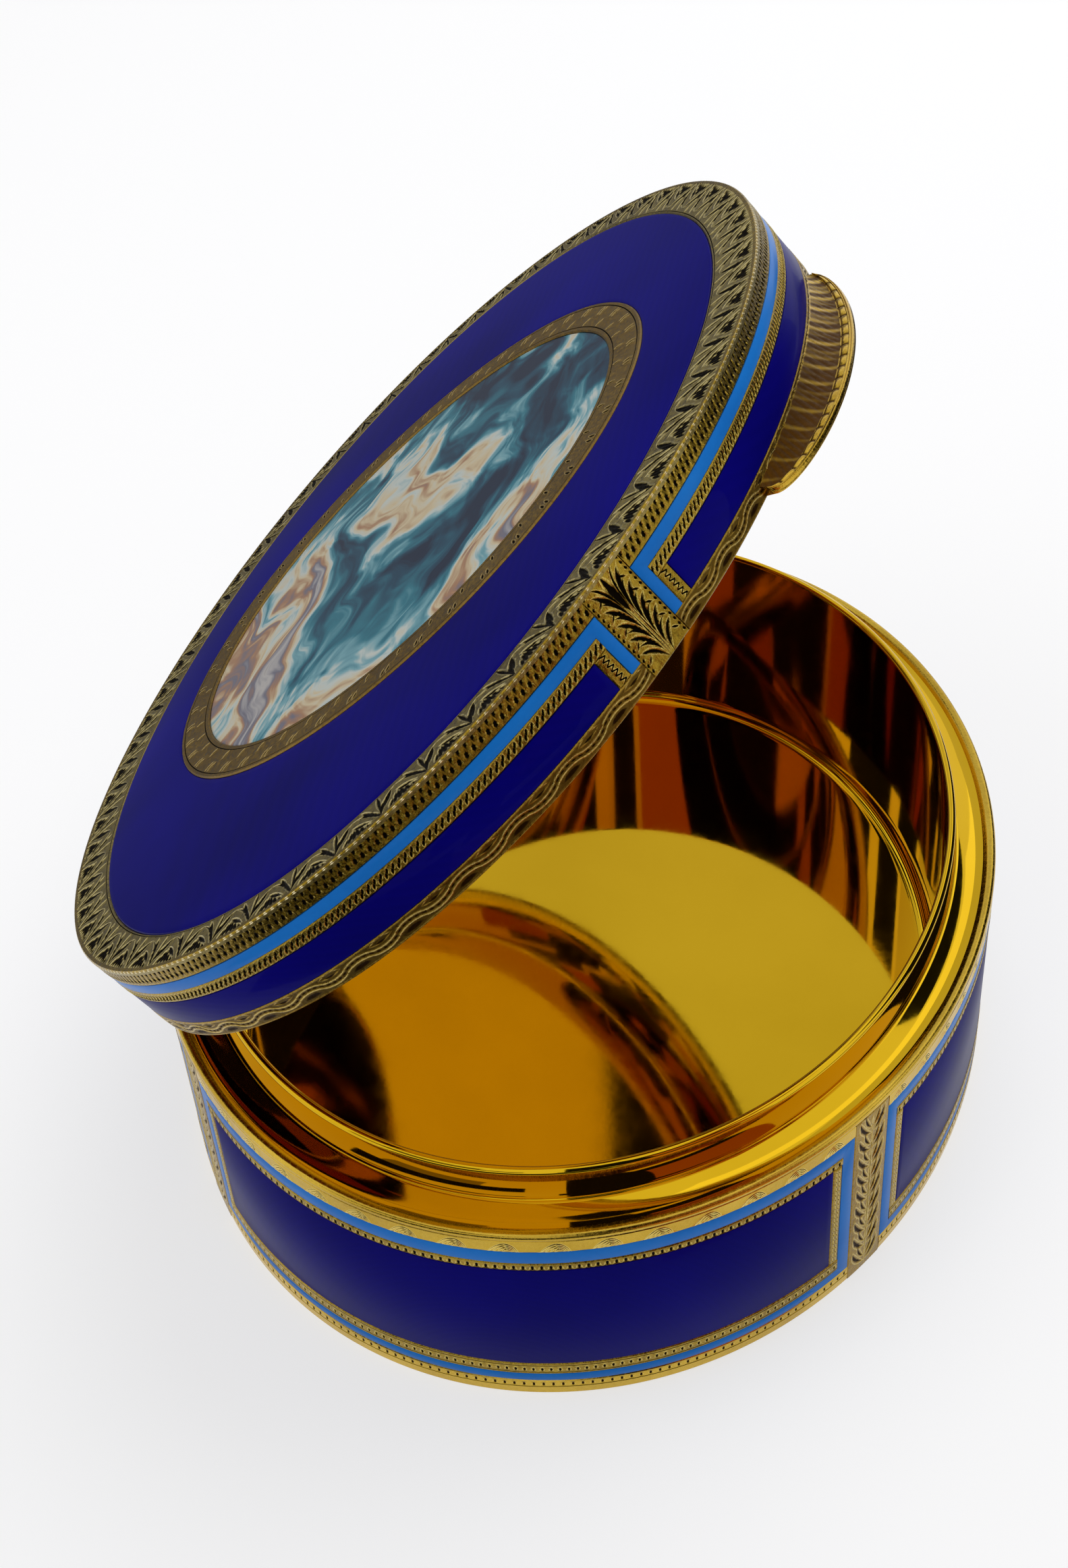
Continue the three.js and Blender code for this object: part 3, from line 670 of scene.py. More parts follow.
inside = FLANGE_INSET + FLANGE_WALL
outside = inside - CUP_SHEET
ledge = fillet((2.2, LEDGE_LOW - 0.1), (LIP_INNER - 0.15, 24.6), (FLANGE_INSET - 0.25, 25.0), 14)
root = fillet((FLANGE_INSET - 0.08, 24.7), (FLANGE_INSET - 0.18, 24.98), (FLANGE_INSET, 25.2), 4)
crown = [(FLANGE_INSET + FLANGE_WALL / 2 * (1 - cos(a)),
          FLANGE_TOP - FLANGE_WALL / 2 * (1 - sin(a))) for a in np.linspace(0, pi, 13)]
floor_corner = fillet((inside, FLOOR_TOP), (inside, FLOOR_TOP + CUP_CORNER),
                      (inside + CUP_CORNER, FLOOR_TOP), 10)
cup_section = [(inside + 3, 1.5), (outside + 1, 1.5), (outside, 2.5), (outside, 23.0),
               (LIP_INNER - 0.1, 23.2)] + ledge + root + crown + floor_corner
piece_from("gilt_cup", oval_disc(cup_section), polished_gilt, "box",
           ["rim_bezel", "body_liner"], crease=60)

piece_from("base_plate_gilt", oval_disc([(1.75, 0.06), (1.66, 0.0), (1.6, 0.06), (1.6, 1.2), (1.7, 1.25)]),
           dull_gilt, "box", ["base_plate"])

lid_wall_section = [(CORE_INSET, LID_BOTTOM + 0.05), (CORE_INSET, LID_TOP - 0.35),
                    (LID_SHEET, LID_TOP - 0.35), (LID_SHEET, LID_BOTTOM + 0.05),
                    (BAND_WALL + 0.1, LID_BOTTOM), (CORE_INSET + 0.2, LID_BOTTOM)]
piece_from("lid_wall", oval_ring(lid_wall_section), warm_gilt, "lid", nodes=["lid_band"])

sheet_in = LID_SHEET + 0.8
lid_cup = [(sheet_in + 1.0, LID_CEILING)] + fillet(
    (sheet_in, LID_CEILING), (sheet_in + 1.0, LID_CEILING), (sheet_in, LID_CEILING - 1.0), 8) + [
    (sheet_in, LID_BOTTOM + 0.1), (LID_SHEET + 0.7, LID_BOTTOM), (LID_SHEET, LID_BOTTOM),
    (LID_SHEET, LID_TOP - 1.3)]
piece_from("lid_cup", oval_disc(lid_cup), polished_gilt, "lid", ["lid_liner"], crease=60)

# %% [markdown]
# ## Four bays
# Four pillars part the walls into bays: front, back, left and right. The same bays hold the fields
# and borders of body and lid, so they are measured once, by length along the wall.

# %% Bays between the pillars
pillar_lengths = [length_at(a) for a in (PILLAR_ANGLE, pi - PILLAR_ANGLE, pi + PILLAR_ANGLE,
                                         2 * pi - PILLAR_ANGLE)]
bays = {}
for number, name in enumerate(("back", "left", "front", "right")):
    start = pillar_lengths[number] + PILLAR_WIDTH / 2
    end = pillar_lengths[(number + 1) % 4] - PILLAR_WIDTH / 2
    bays[name] = (start, end + PERIMETER if end < start else end)
print({name: round(end - start, 1) for name, (start, end) in bays.items()}, "mm long bays")

# %% [markdown]
# ## Enamel fields on the walls
# Each field is a thin slab of glass that follows the wall. Its front edge is rounded, because
# enamel shrinks from the metal as it cools and is stoned flush. A bevel would round the hidden
# edges too, so the slab is drawn with its rounding.

# %% Slabs of glass
EDGE = 0.1
GLASS_OUT, GLASS_IN = 0.05, 0.62
HAIR_GAP = 0.03
COLUMN = 0.6


def on_wall(length, height, inset):
    return on_oval(inset, float(angle_at(length)), height)


def wall_slab(start, end, bottom, top):
    """A slab of glass on the wall, its front edges rounded."""
    rows = [(GLASS_IN, 0), (GLASS_OUT + EDGE, 0), (GLASS_OUT + 0.03, 0.03), (GLASS_OUT, EDGE)]
    columns = max(2, int((end - start) / COLUMN))
    profile = ([(inset, bottom + step) for inset, step in rows]
               + [(inset, top - step) for inset, step in rows[::-1]])
    stations = ([(start + step, inset) for inset, step in rows[:3]]
                + [(start + EDGE + (end - start - 2 * EDGE) * n / columns, 0) for n in range(columns + 1)]
                + [(end - step, inset) for inset, step in rows[2::-1]])
    points = [on_wall(at, height, max(inset, least)) for at, least in stations for inset, height in profile]
    faces = quads(len(stations), 8, round_columns=True)
    return points, faces + [tuple(range(8)), tuple(range(len(points) - 8, len(points)))]


print("slab of", len(wall_slab(0, 10, 0, 10)[0]), "points for 10 mm")

# %% [markdown]
# ## Light blue lines
# The light blue lines are the same slab swept round a rectangle: a closed frame on the body, and
# one with an open foot on the lid. One frame has true mitred corners, four strips would not.

# %% Frames of glass
def wall_frame(start, end, bottom, top, sides, foot, head, open_foot=False):
    """A line of glass round a rectangle on the wall. With an open foot it has three sides only."""
    outer, inner = [], []
    steps = max(2, int((end - start) / COLUMN))
    outer_corners = [(start, bottom), (start, top), (end, top), (end, bottom)]
    inner_bottom = bottom if open_foot else bottom + foot
    inner_corners = [(start + sides, inner_bottom), (start + sides, top - head), (end - sides, top - head),
                     (end - sides, inner_bottom)]
    runs = [(0, 1, 4), (1, 2, steps), (2, 3, 4)] + ([] if open_foot else [(3, 0, steps)])
    for first, second, count in runs:
        for t in (n / count for n in range(count)):
            for corners, line in ((outer_corners, outer), (inner_corners, inner)):
                line.append(tuple((1 - t) * a + t * b for a, b in zip(corners[first], corners[second])))
    if open_foot:
        outer.append(outer_corners[3])
        inner.append(inner_corners[3])
    points = []
    for (outer_u, outer_z), (inner_u, inner_z) in zip(outer, inner):
        edge = EDGE / hypot(inner_u - outer_u, inner_z - outer_z)
        near = [(0, GLASS_IN), (0, GLASS_OUT + EDGE), (0.3 * edge, GLASS_OUT + 0.03), (edge, GLASS_OUT)]
        for share, inset in near + [(1 - share, inset) for share, inset in near[::-1]]:
            points.append(on_wall(outer_u + (inner_u - outer_u) * share,
                                  outer_z + (inner_z - outer_z) * share, inset))
    faces = quads(len(outer), 8, round_rows=not open_foot, round_columns=True)
    if open_foot:
        faces += [tuple(range(8)), tuple(range(len(points) - 8, len(points)))]
    return points, faces


for name, (start, end) in bays.items():
    side = SIDE_LINE + SIDE_STRIP + HAIR_GAP
    piece_from(f"body_panel_{name}_glass",
               wall_slab(start + side, end - side, PANEL_BOTTOM + HAIR_GAP, PANEL_TOP - HAIR_GAP),
               dark_blue, "box", [f"body_panel_{name}"])
    piece_from(f"body_line_{name}_glass",
               wall_frame(start, end, BASE_BORDER, LINE_TOP, SIDE_LINE, LOWER_LINE, UPPER_LINE),
               light_blue, "box", [f"body_line_{name}"])
    side = LID_LINE + LID_SIDE_STRIP + HAIR_GAP
    piece_from(f"lid_panel_{name}_glass",
               wall_slab(start + side, end - side, LID_PANEL_BOTTOM + HAIR_GAP, LID_PANEL_TOP - HAIR_GAP),
               dark_blue, "lid", [f"lid_panel_{name}"])
    piece_from(f"lid_line_{name}_glass",
               wall_frame(start, end, LID_PANEL_BOTTOM, LID_LINE_TOP, LID_LINE, 0, LID_LINE, open_foot=True),
               light_blue, "lid", [f"lid_line_{name}"])

# %% [markdown]
# ## The graver
# A graver pushes up a thin chip and leaves a groove shaped like a V that starts and ends in a
# point. So every cut here is a curved line with a half width that grows and fades. A bump map would
# look flat from the side, where these cuts catch real light.

# %% One push of the graver
def cut(start, end, half, bend=None, belly=0.5, steps=6):
    """One push of the graver: its middle line and its half widths."""
    start, end = np.array(start, float), np.array(end, float)
    bend = (start + end) / 2 if bend is None else np.array(bend, float)
    t = np.linspace(0, 1, steps + 1)
    line = ((1 - t) ** 2)[:, None] * start + (2 * t * (1 - t))[:, None] * bend + (t * t)[:, None] * end
    swell = np.where(t < belly, t / belly, (1 - t) / (1 - belly))
    return line, half * np.sin(np.clip(swell, 0, 1) * pi / 2) ** 0.8


def mirrored(cuts, middle):
    """The same cuts on the other side of a middle line."""
    return [(line * (-1, 1) + (2 * middle, 0), halves) for line, halves in cuts]


def depth_under(points, strokes):
    """How deep the graver went at each point: 0 on the surface, 1 at the widest part's bottom."""
    deepest = np.zeros(len(points))
    for line, halves in strokes:
        start, along = line[:-1], line[1:] - line[:-1]
        share = np.einsum("ijk,jk->ij", points[:, None] - start, along) / (along ** 2).sum(1)
        share = np.clip(share, 0, 1)
        away = np.linalg.norm(points[:, None] - (start + share[..., None] * along), axis=2)
        half = halves[:-1] + share * (halves[1:] - halves[:-1])
        deepest = np.maximum(deepest, ((half - away) / halves.max()).max(axis=1))
    return np.clip(deepest, 0, 1)


print("half widths along one cut:", cut((0, 0), (1, 0), 0.1)[1].round(3).tolist())

# %% [markdown]
# ## Tiles of a border
# One repeat of a border is a flat tile. Its cuts are laid into a triangle mesh as hard lines,
# their middles are sunk, and their sides are raised a little as a burr. The attribute named cut
# remembers how deep each point lies. A sunk ground, with lines left standing, is the same thing
# turned round. A grid would need far more points to hold such thin lines.

# %% Meshes of a tile
TILE_THICK = 0.5


def triangles(points, edges, width, height, outline):
    """Joins flat points to triangles inside the tile, and marks those on the outline of a cut."""
    found = delaunay_2d_cdt([Vector(p) for p in points], edges, [], 0, 1e-5)
    flat = np.array([tuple(p) for p in found[0]])

    def within(face):
        u, v = flat[list(face)].T
        return (-1e-4 < u.mean() < width + 1e-4 and u.min() > -1e-3 and u.max() < width + 1e-3
                and v.min() > -1e-3 and v.max() < height + 1e-3)

    faces = [face for face in found[2] if within(face)]
    used = sorted({n for face in faces for n in face})
    number = {old: new for new, old in enumerate(used)}
    beside_cut = np.array([any(before in outline for before in found[3][n]) for n in used], float)
    return flat[used], [tuple(number[n] for n in face) for face in faces], beside_cut


def closed_tile(name, flat, rise, cut_values, faces, height):
    """Gives a tile its relief, an edge down both long sides and a back."""
    solid = [(u, v, h) for (u, v), h in zip(flat, rise)]
    low = sorted((n for n in range(len(flat)) if flat[n, 1] < 1e-4), key=lambda n: flat[n, 0])
    high = sorted((n for n in range(len(flat)) if flat[n, 1] > height - 1e-4), key=lambda n: flat[n, 0])
    under = {}
    for n in low + high:
        under[n] = len(solid)
        solid.append((flat[n, 0], flat[n, 1], -TILE_THICK))
    for line in (low, high):
        faces += [(a, b, under[b], under[a]) for a, b in zip(line, line[1:])]
    faces.append(tuple(under[n] for n in low + high[::-1]))
    mesh = mesh_of(name, solid, faces)
    attribute = mesh.attributes.new("cut", "FLOAT", "POINT")
    attribute.data.foreach_set("value", list(cut_values) + [0.0] * (len(solid) - len(cut_values)))
    return mesh


print("tiles are", TILE_THICK, "mm thick")

# %% [markdown]
# ## One repeat of a border
# A border repeats one motif, so one flat repeat is made and used many times. The outline of every
# cut goes into the triangles, which keeps its edge crisp on a coarse mesh. Then each point sinks
# by how deep it lies in a cut, and the points right beside a cut stand proud as a burr, marked
# with a cut value below 0 that the gilt paints as a highlight. Both long edges are bevelled, where
# the light catches them.

# %% One engraved tile
BURR = 0.02
# Cut value of the burr points, which the gilt paints as a highlight.
ON_BURR = -0.6
GROUND_SLOPE = 0.08


def tile(name, width, height, cuts, depth=0.14, grooves=(), standing=(), ground=None, ground_tone=1.0,
         bevel=0.12, sides=0.0, step=0.9, edge_step=None, repeats=True, relief=None, halo=0.09):
    """One repeat of an engraved border, flat, in metres: along X, up Y, out Z."""
    def spread(strokes):
        made = []
        for line, halves in strokes:
            for shift in (-width, 0, width) if repeats else (0,):
                moved, reach = line + (shift, 0), halves.max()
                if moved[:, 0].max() + reach > 0 and moved[:, 0].min() - reach < width:
                    made.append((moved, halves))
        return made

    cut_strokes, ridge_strokes = spread(cuts), spread(standing)
    points, edges = [], []

    def lay(chain):
        first = len(points)
        points.extend((float(u), float(v)) for u, v in chain)
        edges.extend((first + n, first + n + 1) for n in range(len(chain) - 1))

    rows = {0.0, bevel, height - bevel, height}
    for at, half in grooves:
        rows.update((at - half, at, at + half))
    if ground:
        rows.update((ground[0], ground[0] + GROUND_SLOPE, ground[1] - GROUND_SLOPE, ground[1]))
    columns = max(1, round(width / step))
    for row in sorted(rows):
        count = round(width / edge_step) if edge_step and row <= bevel else columns
        lay([(width * n / count, row) for n in range(count + 1)])
    for column in (0, width) + ((sides, width - sides) if sides else ()):
        lay([(column, 0), (column, height)])
    levels = int(height / step)
    if height > 3 * step:
        for n in range(1, levels):
            points.extend((width * m / columns, height * n / levels) for m in range(columns + 1))
    first_outline, land = len(points), []
    for line, halves in cut_strokes + ridge_strokes:
        direction = np.gradient(line, axis=0)
        normal = np.stack([-direction[:, 1], direction[:, 0]], axis=1)
        normal /= np.linalg.norm(normal, axis=1)[:, None]
        for side in (0, 1, -1):
            lay(line + side * normal * halves[:, None])
        reach = (halves + halo)[:, None]
        land.extend(map(tuple, np.concatenate([line + normal * reach, line - normal * reach])))
    last_outline = len(points)
    points.extend((float(u), float(v)) for u, v in land
                  if 0.02 < u < width - 0.02 and 0.02 < v < height - 0.02)
    outline = range(first_outline, last_outline)
    flat, faces, beside_cut = triangles(points, edges, width, height, outline)

    cut_values = depth_under(flat, cut_strokes)
    for at, half in grooves:
        cut_values = np.maximum(cut_values, np.clip(1 - np.abs(flat[:, 1] - at) / half, 0, 1) * 0.8)
    if ground:
        inside = np.clip(np.minimum(flat[:, 1] - ground[0], ground[1] - flat[:, 1]) / GROUND_SLOPE, 0, 1)
        cut_values = np.maximum(cut_values, inside * (1 - depth_under(flat, ridge_strokes)) * ground_tone)
    on_surface = cut_values < 0.02
    rise = -cut_values * depth - BURR * (1 - beside_cut * on_surface)
    # Burr points take ON_BURR, a painted highlight.
    cut_values = np.where(on_surface & (beside_cut > 0), ON_BURR, cut_values)
    if relief:
        rise += np.array([relief(u, v) for u, v in flat])
    edge = np.minimum(flat[:, 1], height - flat[:, 1])
    if sides:
        edge = np.minimum(edge, np.minimum(flat[:, 0], width - flat[:, 0]))
    rise -= np.clip(bevel - edge, 0, bevel)
    return closed_tile(name, flat, rise, cut_values, faces, height)


print("a burr stands", BURR, "mm above the ground")

# %% [markdown]
# ## Wrapping a border round the oval
# A real border is engraved on a flat strip or with the box turning in the hand, so the repeats
# keep their size round the whole oval. The geometry tree below does the same. It lines the tiles
# up, joins them, and then bends the strip: each point's length along the strip becomes a place on
# the oval, its height goes up the wall, or, for a lying border, inwards over the lid's top.

# %% The tree "wrap round the oval"
wrap_tree, given, out = node_group("wrap_round_the_oval", "GeometryNodeTree", [
    ("Geometry", "NodeSocketGeometry", None), ("Half length", FLOAT, 0.06), ("Half width", FLOAT, 0.0475),
    ("Tiles", "NodeSocketInt", 1), ("Pitch", FLOAT, 0.001), ("Stretch", FLOAT, 1.0), ("Start", FLOAT, 0.0),
    ("Height", FLOAT, 0.0), ("Lying", "NodeSocketBool", False), ("Narrowing", VECTOR, None),
    ("Material", "NodeSocketMaterial", None)], [("Geometry", "NodeSocketGeometry")])
wrap_tree.is_modifier = True


def step(kind, inputs=None, **settings):
    """Adds a node to the wrapping tree and gives its outputs."""
    return add(wrap_tree, kind, inputs, **settings).outputs


def vectors(operation, first, second=None, scale=None):
    inputs = {0: first, 1: second, "Scale": scale}
    return step("ShaderNodeVectorMath", {key: value for key, value in inputs.items() if value is not None},
                operation=operation)[0]


def raised(point, by):
    """Moves a point up by the border's height and one of its own measures."""
    lift = step("ShaderNodeCombineXYZ", {"Z": calc(wrap_tree, "ADD", given["Height"], by)})[0]
    return vectors("ADD", point, lift)


offset = step("ShaderNodeCombineXYZ", {"X": given["Pitch"]})[0]
strip = step("GeometryNodeMeshLine", {"Count": given["Tiles"], "Offset": offset}, mode="OFFSET")["Mesh"]
laid = step("GeometryNodeInstanceOnPoints", {"Points": strip, "Instance": given["Geometry"]})["Instances"]
joined = step("GeometryNodeRealizeInstances", {"Geometry": laid})[0]
spot = step("ShaderNodeSeparateXYZ", {0: step("GeometryNodeInputPosition")[0]})
circle = step("GeometryNodeCurvePrimitiveCircle", {"Resolution": 2880, "Radius": 1.0})["Curve"]
size = step("ShaderNodeCombineXYZ", {"X": given["Half length"], "Y": given["Half width"], "Z": 1.0})[0]
oval = step("GeometryNodeTransform", {"Geometry": circle, "Scale": size})[0]
way = calc(wrap_tree, "ADD", given["Start"], calc(wrap_tree, "MULTIPLY", spot["X"], given["Stretch"]))
round_way = calc(wrap_tree, "FLOORED_MODULO", way, step("GeometryNodeCurveLength", {0: oval})[0])
sample = step("GeometryNodeSampleCurve", {"Curves": oval, "Length": round_way}, mode="LENGTH")
outward = vectors("CROSS_PRODUCT", sample["Tangent"], (0, 0, 1))
standing = raised(vectors("ADD", sample["Position"], vectors("SCALE", outward, scale=spot["Z"])), spot["Y"])
left_over = vectors("SUBTRACT", (1, 1, 1), vectors("SCALE", given["Narrowing"], scale=spot["Y"]))
lying = raised(vectors("MULTIPLY", sample["Position"], left_over), spot["Z"])
choice = step("GeometryNodeSwitch", {"Switch": given["Lying"], "False": standing, "True": lying},
              input_type="VECTOR")[0]
bent = step("GeometryNodeSetPosition", {"Geometry": joined, "Position": choice})[0]
welded = step("GeometryNodeMergeByDistance", {"Geometry": bent, "Distance": 2e-6})[0]
finished = step("GeometryNodeSetMaterial", {"Geometry": welded, "Material": given["Material"]})[0]
fill(wrap_tree, out, {"Geometry": finished})
SOCKETS = {item.name: item.identifier for item in wrap_tree.interface.items_tree
           if item.in_out == "INPUT"}
print("tree inputs:", list(SOCKETS))

# %% [markdown]
# ## Strips in all four bays
# On the real box each border was cut bay by bay, and its repeats were spaced to fit. The strip
# does the same: it takes the whole number of tiles nearest to the length and stretches them a
# little. The bent strips become plain meshes, whose ends are then closed.

# %% Bent strips
def bent_strip(flat_tile, look, length, start, height, tiles=None, half_sizes=None, narrowing=None):
    """Bends a strip of tiles to a length round the oval, as a new mesh."""
    pitch = max(v.co.x for v in flat_tile.vertices)
    tiles = tiles or max(1, round(length * MM / pitch))
    half_length, half_width = half_sizes or (HALF_LENGTH, HALF_WIDTH)
    holder = in_scene("strip_layout", flat_tile)
    modifier = holder.modifiers.new("wrap", "NODES")
    modifier.node_group = wrap_tree
    values = {"Half length": half_length * MM, "Half width": half_width * MM, "Tiles": tiles, "Pitch": pitch,
              "Stretch": length * MM / (tiles * pitch), "Start": (start % PERIMETER) * MM,
              "Height": height * MM, "Lying": narrowing is not None, "Material": look}
    if narrowing is not None:
        values["Narrowing"] = [value / MM for value in narrowing]
    for socket, value in values.items():
        modifier[SOCKETS[socket]] = value
    made = bpy.data.meshes.new_from_object(holder.evaluated_get(bpy.context.evaluated_depsgraph_get()))
    bpy.data.objects.remove(holder)
    return made


def dress_strips(name, strips, look, body):
    """Joins bent strips into one piece and closes their ends."""
    work = bmesh.new()
    for mesh in strips:
        work.from_mesh(mesh)
        bpy.data.meshes.remove(mesh)
    mesh = bpy.data.meshes.new(name)
    work.to_mesh(mesh)
    work.free()
    dress(name, mesh, look, body, close=True)


def bay_borders(name, flat_tile, look, body, height, inset=0.0):
    """The same border in all four bays, as one piece."""
    dress_strips(name, [bent_strip(flat_tile, look, end - start - 2 * inset, start + inset, height)
                        for start, end in bays.values()], look, body)


def side_strips(name, flat_tile, width, line, body, bottom):
    """Upright strips at both ends of each bay, inside the light blue line."""
    dress_strips(name, [bent_strip(flat_tile, engraved_gilt, width, at, bottom, tiles=1)
                        for start, end in bays.values() for at in (start + line, end - line - width)],
                 engraved_gilt, body)


print("strips fit", {name: round((end - start) / 0.9) for name, (start, end) in bays.items()},
      "tiles of 0.9 mm")

# %% [markdown]
# ## Borders of the body
# From the table up: a plain foot with a row of punched dots, the strip between the light and the
# dark blue, the narrow upper strip, and the rim border, which is almost smooth. Each strip is
# engraved once as a small tile. Upright strips with two rows of fine punches end each field.

# %% Body borders
foot_tile = tile("foot_tile", 1.0, BASE_BORDER, [cut((0.5, 1.35), (0.5, 1.8), 0.2, steps=4)], depth=0.16,
                 grooves=[(1.15, 0.07)],
                 relief=lambda u, v: -0.05 * (1 - sin(pi * u)) * (v < 0.4))
bay_borders("foot_border", foot_tile, warm_gilt, "box", 0.0)

dot = cut((0.45, 0.5), (0.45, 1.1), 0.22, belly=0.4, steps=4)
lower_tile = tile("lower_strip_tile", 0.9, LOWER_STRIP, [dot], grooves=[(0.28, 0.06), (1.35, 0.06)])
bay_borders("body_lower_strip", lower_tile, engraved_gilt, "box", BASE_BORDER + LOWER_LINE, inset=SIDE_LINE)

dot = cut((0.45, 0.22), (0.45, 0.85), 0.26, belly=0.3, steps=4)
bay_borders("body_upper_strip", tile("upper_strip_tile", 0.9, UPPER_STRIP, [dot]), engraved_gilt, "box",
            PANEL_TOP, inset=SIDE_LINE)

leaf_hatches = []
for n in range(4):
    low, reach = 0.08, 2.1 - 0.48 * n
    leaf_hatches.append(cut((2.5 - reach, low), (2.5 + 0.4 * reach, low), 0.08, bend=(2.2, 2.3 - 0.5 * n),
                            steps=12))
rim_tile = tile("rim_tile", 5.0, RIM_BORDER - LIP_HEIGHT, leaf_hatches, depth=0.06, bevel=0.08)
bay_borders("rim_border", rim_tile, warm_gilt, "box", LINE_TOP)

PUNCH_PITCH = 0.7
side_height = PANEL_TOP - PANEL_BOTTOM
punches = [cut((across, first + PUNCH_PITCH * n), (across, first + 0.32 + PUNCH_PITCH * n), 0.09, steps=4)
           for n in range(round(side_height / PUNCH_PITCH)) for across, first in ((0.42, 0.3), (0.84, 0.1))]
side_tile = tile("side_strip_tile", SIDE_STRIP, side_height, punches, depth=0.06, sides=0.1, repeats=False)
side_strips("body_side_strips", side_tile, SIDE_STRIP, SIDE_LINE, "box", PANEL_BOTTOM)

# %% [markdown]
# ## Pillars
# Four gilt pillars part the blue fields. The body's pillars carry a laurel branch with small paired
# leaves, the lid's carry a palm: a stem, a middle leaf and five long leaves on each side.

# %% Pillars
middle = PILLAR_WIDTH / 2
laurel = [cut((middle, 0.9), (middle, 23.6), 0.1, steps=24)]
for n in range(9):
    foot = 1.0 + n * 2.55
    side = [cut((middle - 0.12, foot), (middle - 1.95, foot + 2.7), 0.44,
                bend=(middle - 1.75, foot + 0.7), belly=0.55, steps=8),
            cut((middle - 0.12, foot + 0.8), (middle - 1.15, foot + 3.1), 0.3,
                bend=(middle - 1.0, foot + 1.4))]
    laurel += side + mirrored(side, middle)

palm = [cut((middle, 4.9), (middle, 9.5), 0.46, belly=0.7, steps=10)]
palm += [cut((middle + side * 0.1, 0.1), (middle + side * 0.22, 5.8), 0.06, steps=8)
         for side in (-1, 1)]
for n in range(5):
    foot, tip = 0.1 + 1.25 * n, 2.3 + 1.62 * n
    reach = 2.16 - 0.07 * n
    side = [cut((middle - 0.3, foot), (middle - reach, tip), 0.27,
                bend=(middle - 0.78, foot + 0.76 * (tip - foot)), belly=0.6, steps=9),
            cut((middle - 0.3, foot + 0.75), (middle - reach + 0.34, tip + 0.5), 0.15,
                bend=(middle - 0.52, foot + 0.8 + 0.76 * (tip - foot)), belly=0.55, steps=8),
            cut((middle - reach - 0.02, tip - 1.25), (middle - reach + 0.6, tip - 0.75), 0.12)]
    palm += side + mirrored(side, middle)
for n in range(15):
    side = [cut((0.24, 0.35 + n * 0.62), (0.36, 0.72 + n * 0.62), 0.16, steps=4)]
    palm += side + mirrored(side, middle)

for name, height, branch, look, body, bottom in (
        ("body_pillars", BODY_HEIGHT - LIP_HEIGHT, laurel, brown_gilt, "box", 0.0),
        ("lid_pillars", LID_TOP - LID_BOTTOM, palm, engraved_gilt, "lid", LID_BOTTOM)):
    pillar_tile = tile(f"{name}_tile", PILLAR_WIDTH, height, branch, sides=0.12, repeats=False)
    dress_strips(name, [bent_strip(pillar_tile, look, PILLAR_WIDTH, at - middle, bottom, tiles=1)
                        for at in pillar_lengths], look, body)

# %% [markdown]
# ## Borders of the lid's wall
# The lid's wall is lower than the body's, so its borders are finer. A wavy ribbon of two lines is
# left standing over a darkened ground along the lower edge, a rope of paired drops runs between the
# two blues, and two staggered rows of drops follow the corner. Upright strips with a zigzag end
# each dark blue field.

# %% Lid wall borders
WAVE_LENGTH = 6.0
WAVE_MIDDLE = 0.95
WAVE_SWING = 0.3
SOFT_LENS = [0.0, 0.14, 0.22, 0.26, 0.26, 0.22, 0.14, 0.0]


def along_wave(start, end, rise, halves):
    """A cut that runs beside the wavy ribbon, with a half width for each of its points."""
    places = np.linspace(start, end, len(halves))
    swing = np.sin(places / WAVE_LENGTH * 2 * pi)
    heights = WAVE_MIDDLE + rise + WAVE_SWING * np.sign(swing) * np.abs(swing) ** 0.75
    return np.stack([places, heights], axis=1), np.array(halves, float)


def zigzag(length, low, high, pitch, half):
    """A wriggled line up a strip: the graver rocks from side to side as it is pushed along."""
    turns = 2 * round(length / pitch)
    corners = [np.array((high if n % 2 else low, length * n / turns)) for n in range(turns + 1)]
    return [(np.linspace(start, end, 4), np.full(4, half)) for start, end in zip(corners, corners[1:])]


ribbon = [along_wave(-0.3, WAVE_LENGTH + 0.3, rise, [0.13] * 34) for rise in (-0.24, 0.24)]
ribbon += [along_wave(3.1, 5.9, 0.62, [0.02, 0.09, 0.1, 0.1, 0.1, 0.09, 0.02]),
           cut((3.2, 1.45), (4.4, 1.72), 0.1, bend=(3.5, 1.75)),
           cut((5.8, 1.45), (4.6, 1.72), 0.1, bend=(5.5, 1.75))]
wave_cuts = [along_wave(start + 0.06, start + 0.6, 0.0, [0.02, 0.08, 0.1, 0.08, 0.02])
             for start in (WAVE_LENGTH * n / 9 for n in range(9))]
wave_cuts += [along_wave(0.4, 2.6, -0.68, SOFT_LENS),
              cut((5.2, 1.4), (3.8, 1.4), 0.14, bend=(4.5, 1.25), belly=0.6)]
wave_tile = tile("wave_tile", WAVE_LENGTH, WAVE_BORDER, wave_cuts, depth=0.12, bevel=0.09, repeats=False,
                 ground=(0.13, WAVE_BORDER - 0.13), ground_tone=0.34, standing=ribbon, step=0.6)
bay_borders("wave_border", wave_tile, brown_gilt, "lid", LID_BOTTOM)

rope = [cut((0.0, 0.5), (0.34, 1.1), 0.2, steps=4), cut((0.34, 0.16), (0.68, 0.76), 0.2, steps=4)]
bay_borders("lid_strip", tile("lid_strip_tile", 0.7, LID_STRIP, rope, bevel=0.1), engraved_gilt, "lid",
            LID_PANEL_TOP, inset=LID_LINE)

drops = [cut((0.1, 1.24), (0.32, 1.7), 0.25, steps=4), cut((0.46, 0.44), (0.72, 1.02), 0.28, steps=4)]
bay_borders("corner_border", tile("corner_tile", 0.85, CORNER_BORDER, drops), engraved_gilt, "lid",
            LID_LINE_TOP)

